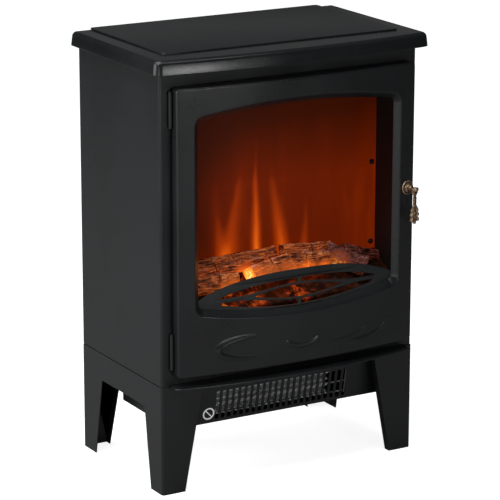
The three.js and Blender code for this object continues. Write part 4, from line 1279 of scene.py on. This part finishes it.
def make_camera():
    """The camera at the photograph's viewing angle."""
    level = math.cos(ELEVATION)
    back = Vector((math.sin(AZIMUTH) * level, -math.cos(AZIMUTH) * level, math.sin(ELEVATION)))
    right = Vector((0, 0, 1)).cross(back).normalized()
    up = back.cross(right)
    across = right * math.cos(ROLL) + up * math.sin(ROLL)
    above = up * math.cos(ROLL) - right * math.sin(ROLL)
    camera = bpy.data.objects.new("camera", bpy.data.cameras.new("camera"))
    camera.data.lens = LENS
    camera.data.sensor_width = SENSOR
    camera.data.clip_end = 60
    turned = Matrix((across, above, back)).transposed().to_4x4()
    camera.matrix_world = Matrix.Translation(CAMERA_PLACE) @ turned
    scene.collection.objects.link(camera)
    scene.camera = camera


def area_light(name, place, aim, size, power):
    """A rectangular soft box that lights the object and stays out of the picture."""
    data = bpy.data.lights.new(name, "AREA")
    data.shape = "RECTANGLE"
    data.size, data.size_y = size
    data.energy = power
    light = bpy.data.objects.new(name, data)
    light.location = place
    light.visible_camera = False
    light.rotation_mode = "QUATERNION"
    light.rotation_quaternion = (Vector(aim) - Vector(place)).to_track_quat("-Z", "Y")
    scene.collection.objects.link(light)


def shader(tree, kind, socket, value):
    """A shader node with one of its sockets set."""
    made = tree.nodes.new(kind)
    made.inputs[socket].default_value = value
    return made


def show_camera(tree, seen, otherwise, output):
    """Gives a tree one shader for the camera's own rays and another for all other rays."""
    path = tree.nodes.new("ShaderNodeLightPath")
    choose = tree.nodes.new("ShaderNodeMixShader")
    tree.links.new(path.outputs["Is Camera Ray"], choose.inputs[0])
    tree.links.new(otherwise.outputs[0], choose.inputs[1])
    tree.links.new(seen.outputs[0], choose.inputs[2])
    tree.links.new(choose.outputs[0], tree.nodes.new(output).inputs[0])


def make_studio():
    """A pale floor, a white surround that only the camera sees, and the soft boxes."""
    mesh = bpy.data.meshes.new("floor")
    reach = 14
    corners = [(-reach, -reach, 0), (reach, -reach, 0), (reach, reach, 0), (-reach, reach, 0)]
    mesh.from_pydata(corners, [], [(0, 1, 2, 3)])
    floor = bpy.data.objects.new("floor", mesh)
    scene.collection.objects.link(floor)
    pale = bpy.data.materials.new("pale_floor")
    pale.use_nodes = True
    tree = pale.node_tree
    tree.nodes.clear()
    white = shader(tree, "ShaderNodeBsdfDiffuse", "Color", (0.85, 0.85, 0.85, 1))
    lit = shader(tree, "ShaderNodeEmission", "Strength", 0.88)
    both = tree.nodes.new("ShaderNodeAddShader")
    tree.links.new(white.outputs[0], both.inputs[0])
    tree.links.new(lit.outputs[0], both.inputs[1])
    grey = shader(tree, "ShaderNodeBsdfDiffuse", "Color", (0.34, 0.34, 0.34, 1))
    show_camera(tree, both, grey, "ShaderNodeOutputMaterial")
    mesh.materials.append(pale)

    world = bpy.data.worlds.new("studio")
    world.use_nodes = True
    scene.world = world
    tree = world.node_tree
    tree.nodes.clear()
    backdrop = shader(tree, "ShaderNodeBackground", "Strength", 1.0)
    room = shader(tree, "ShaderNodeBackground", "Strength", 0.04)
    show_camera(tree, backdrop, room, "ShaderNodeOutputWorld")

    for box in SOFT_BOXES:
        area_light(*box)
    scene.view_settings.view_transform = "Standard"


make_camera()
make_studio()
make_top()
make_hearth()
make_door()
make_grate()
make_handle()
for index, log in enumerate(LOGS):
    make_log(*log, seed=index + 1)
make_bed()
make_screen()
make_heater()
make_screws()
make_knob()
make_rest()
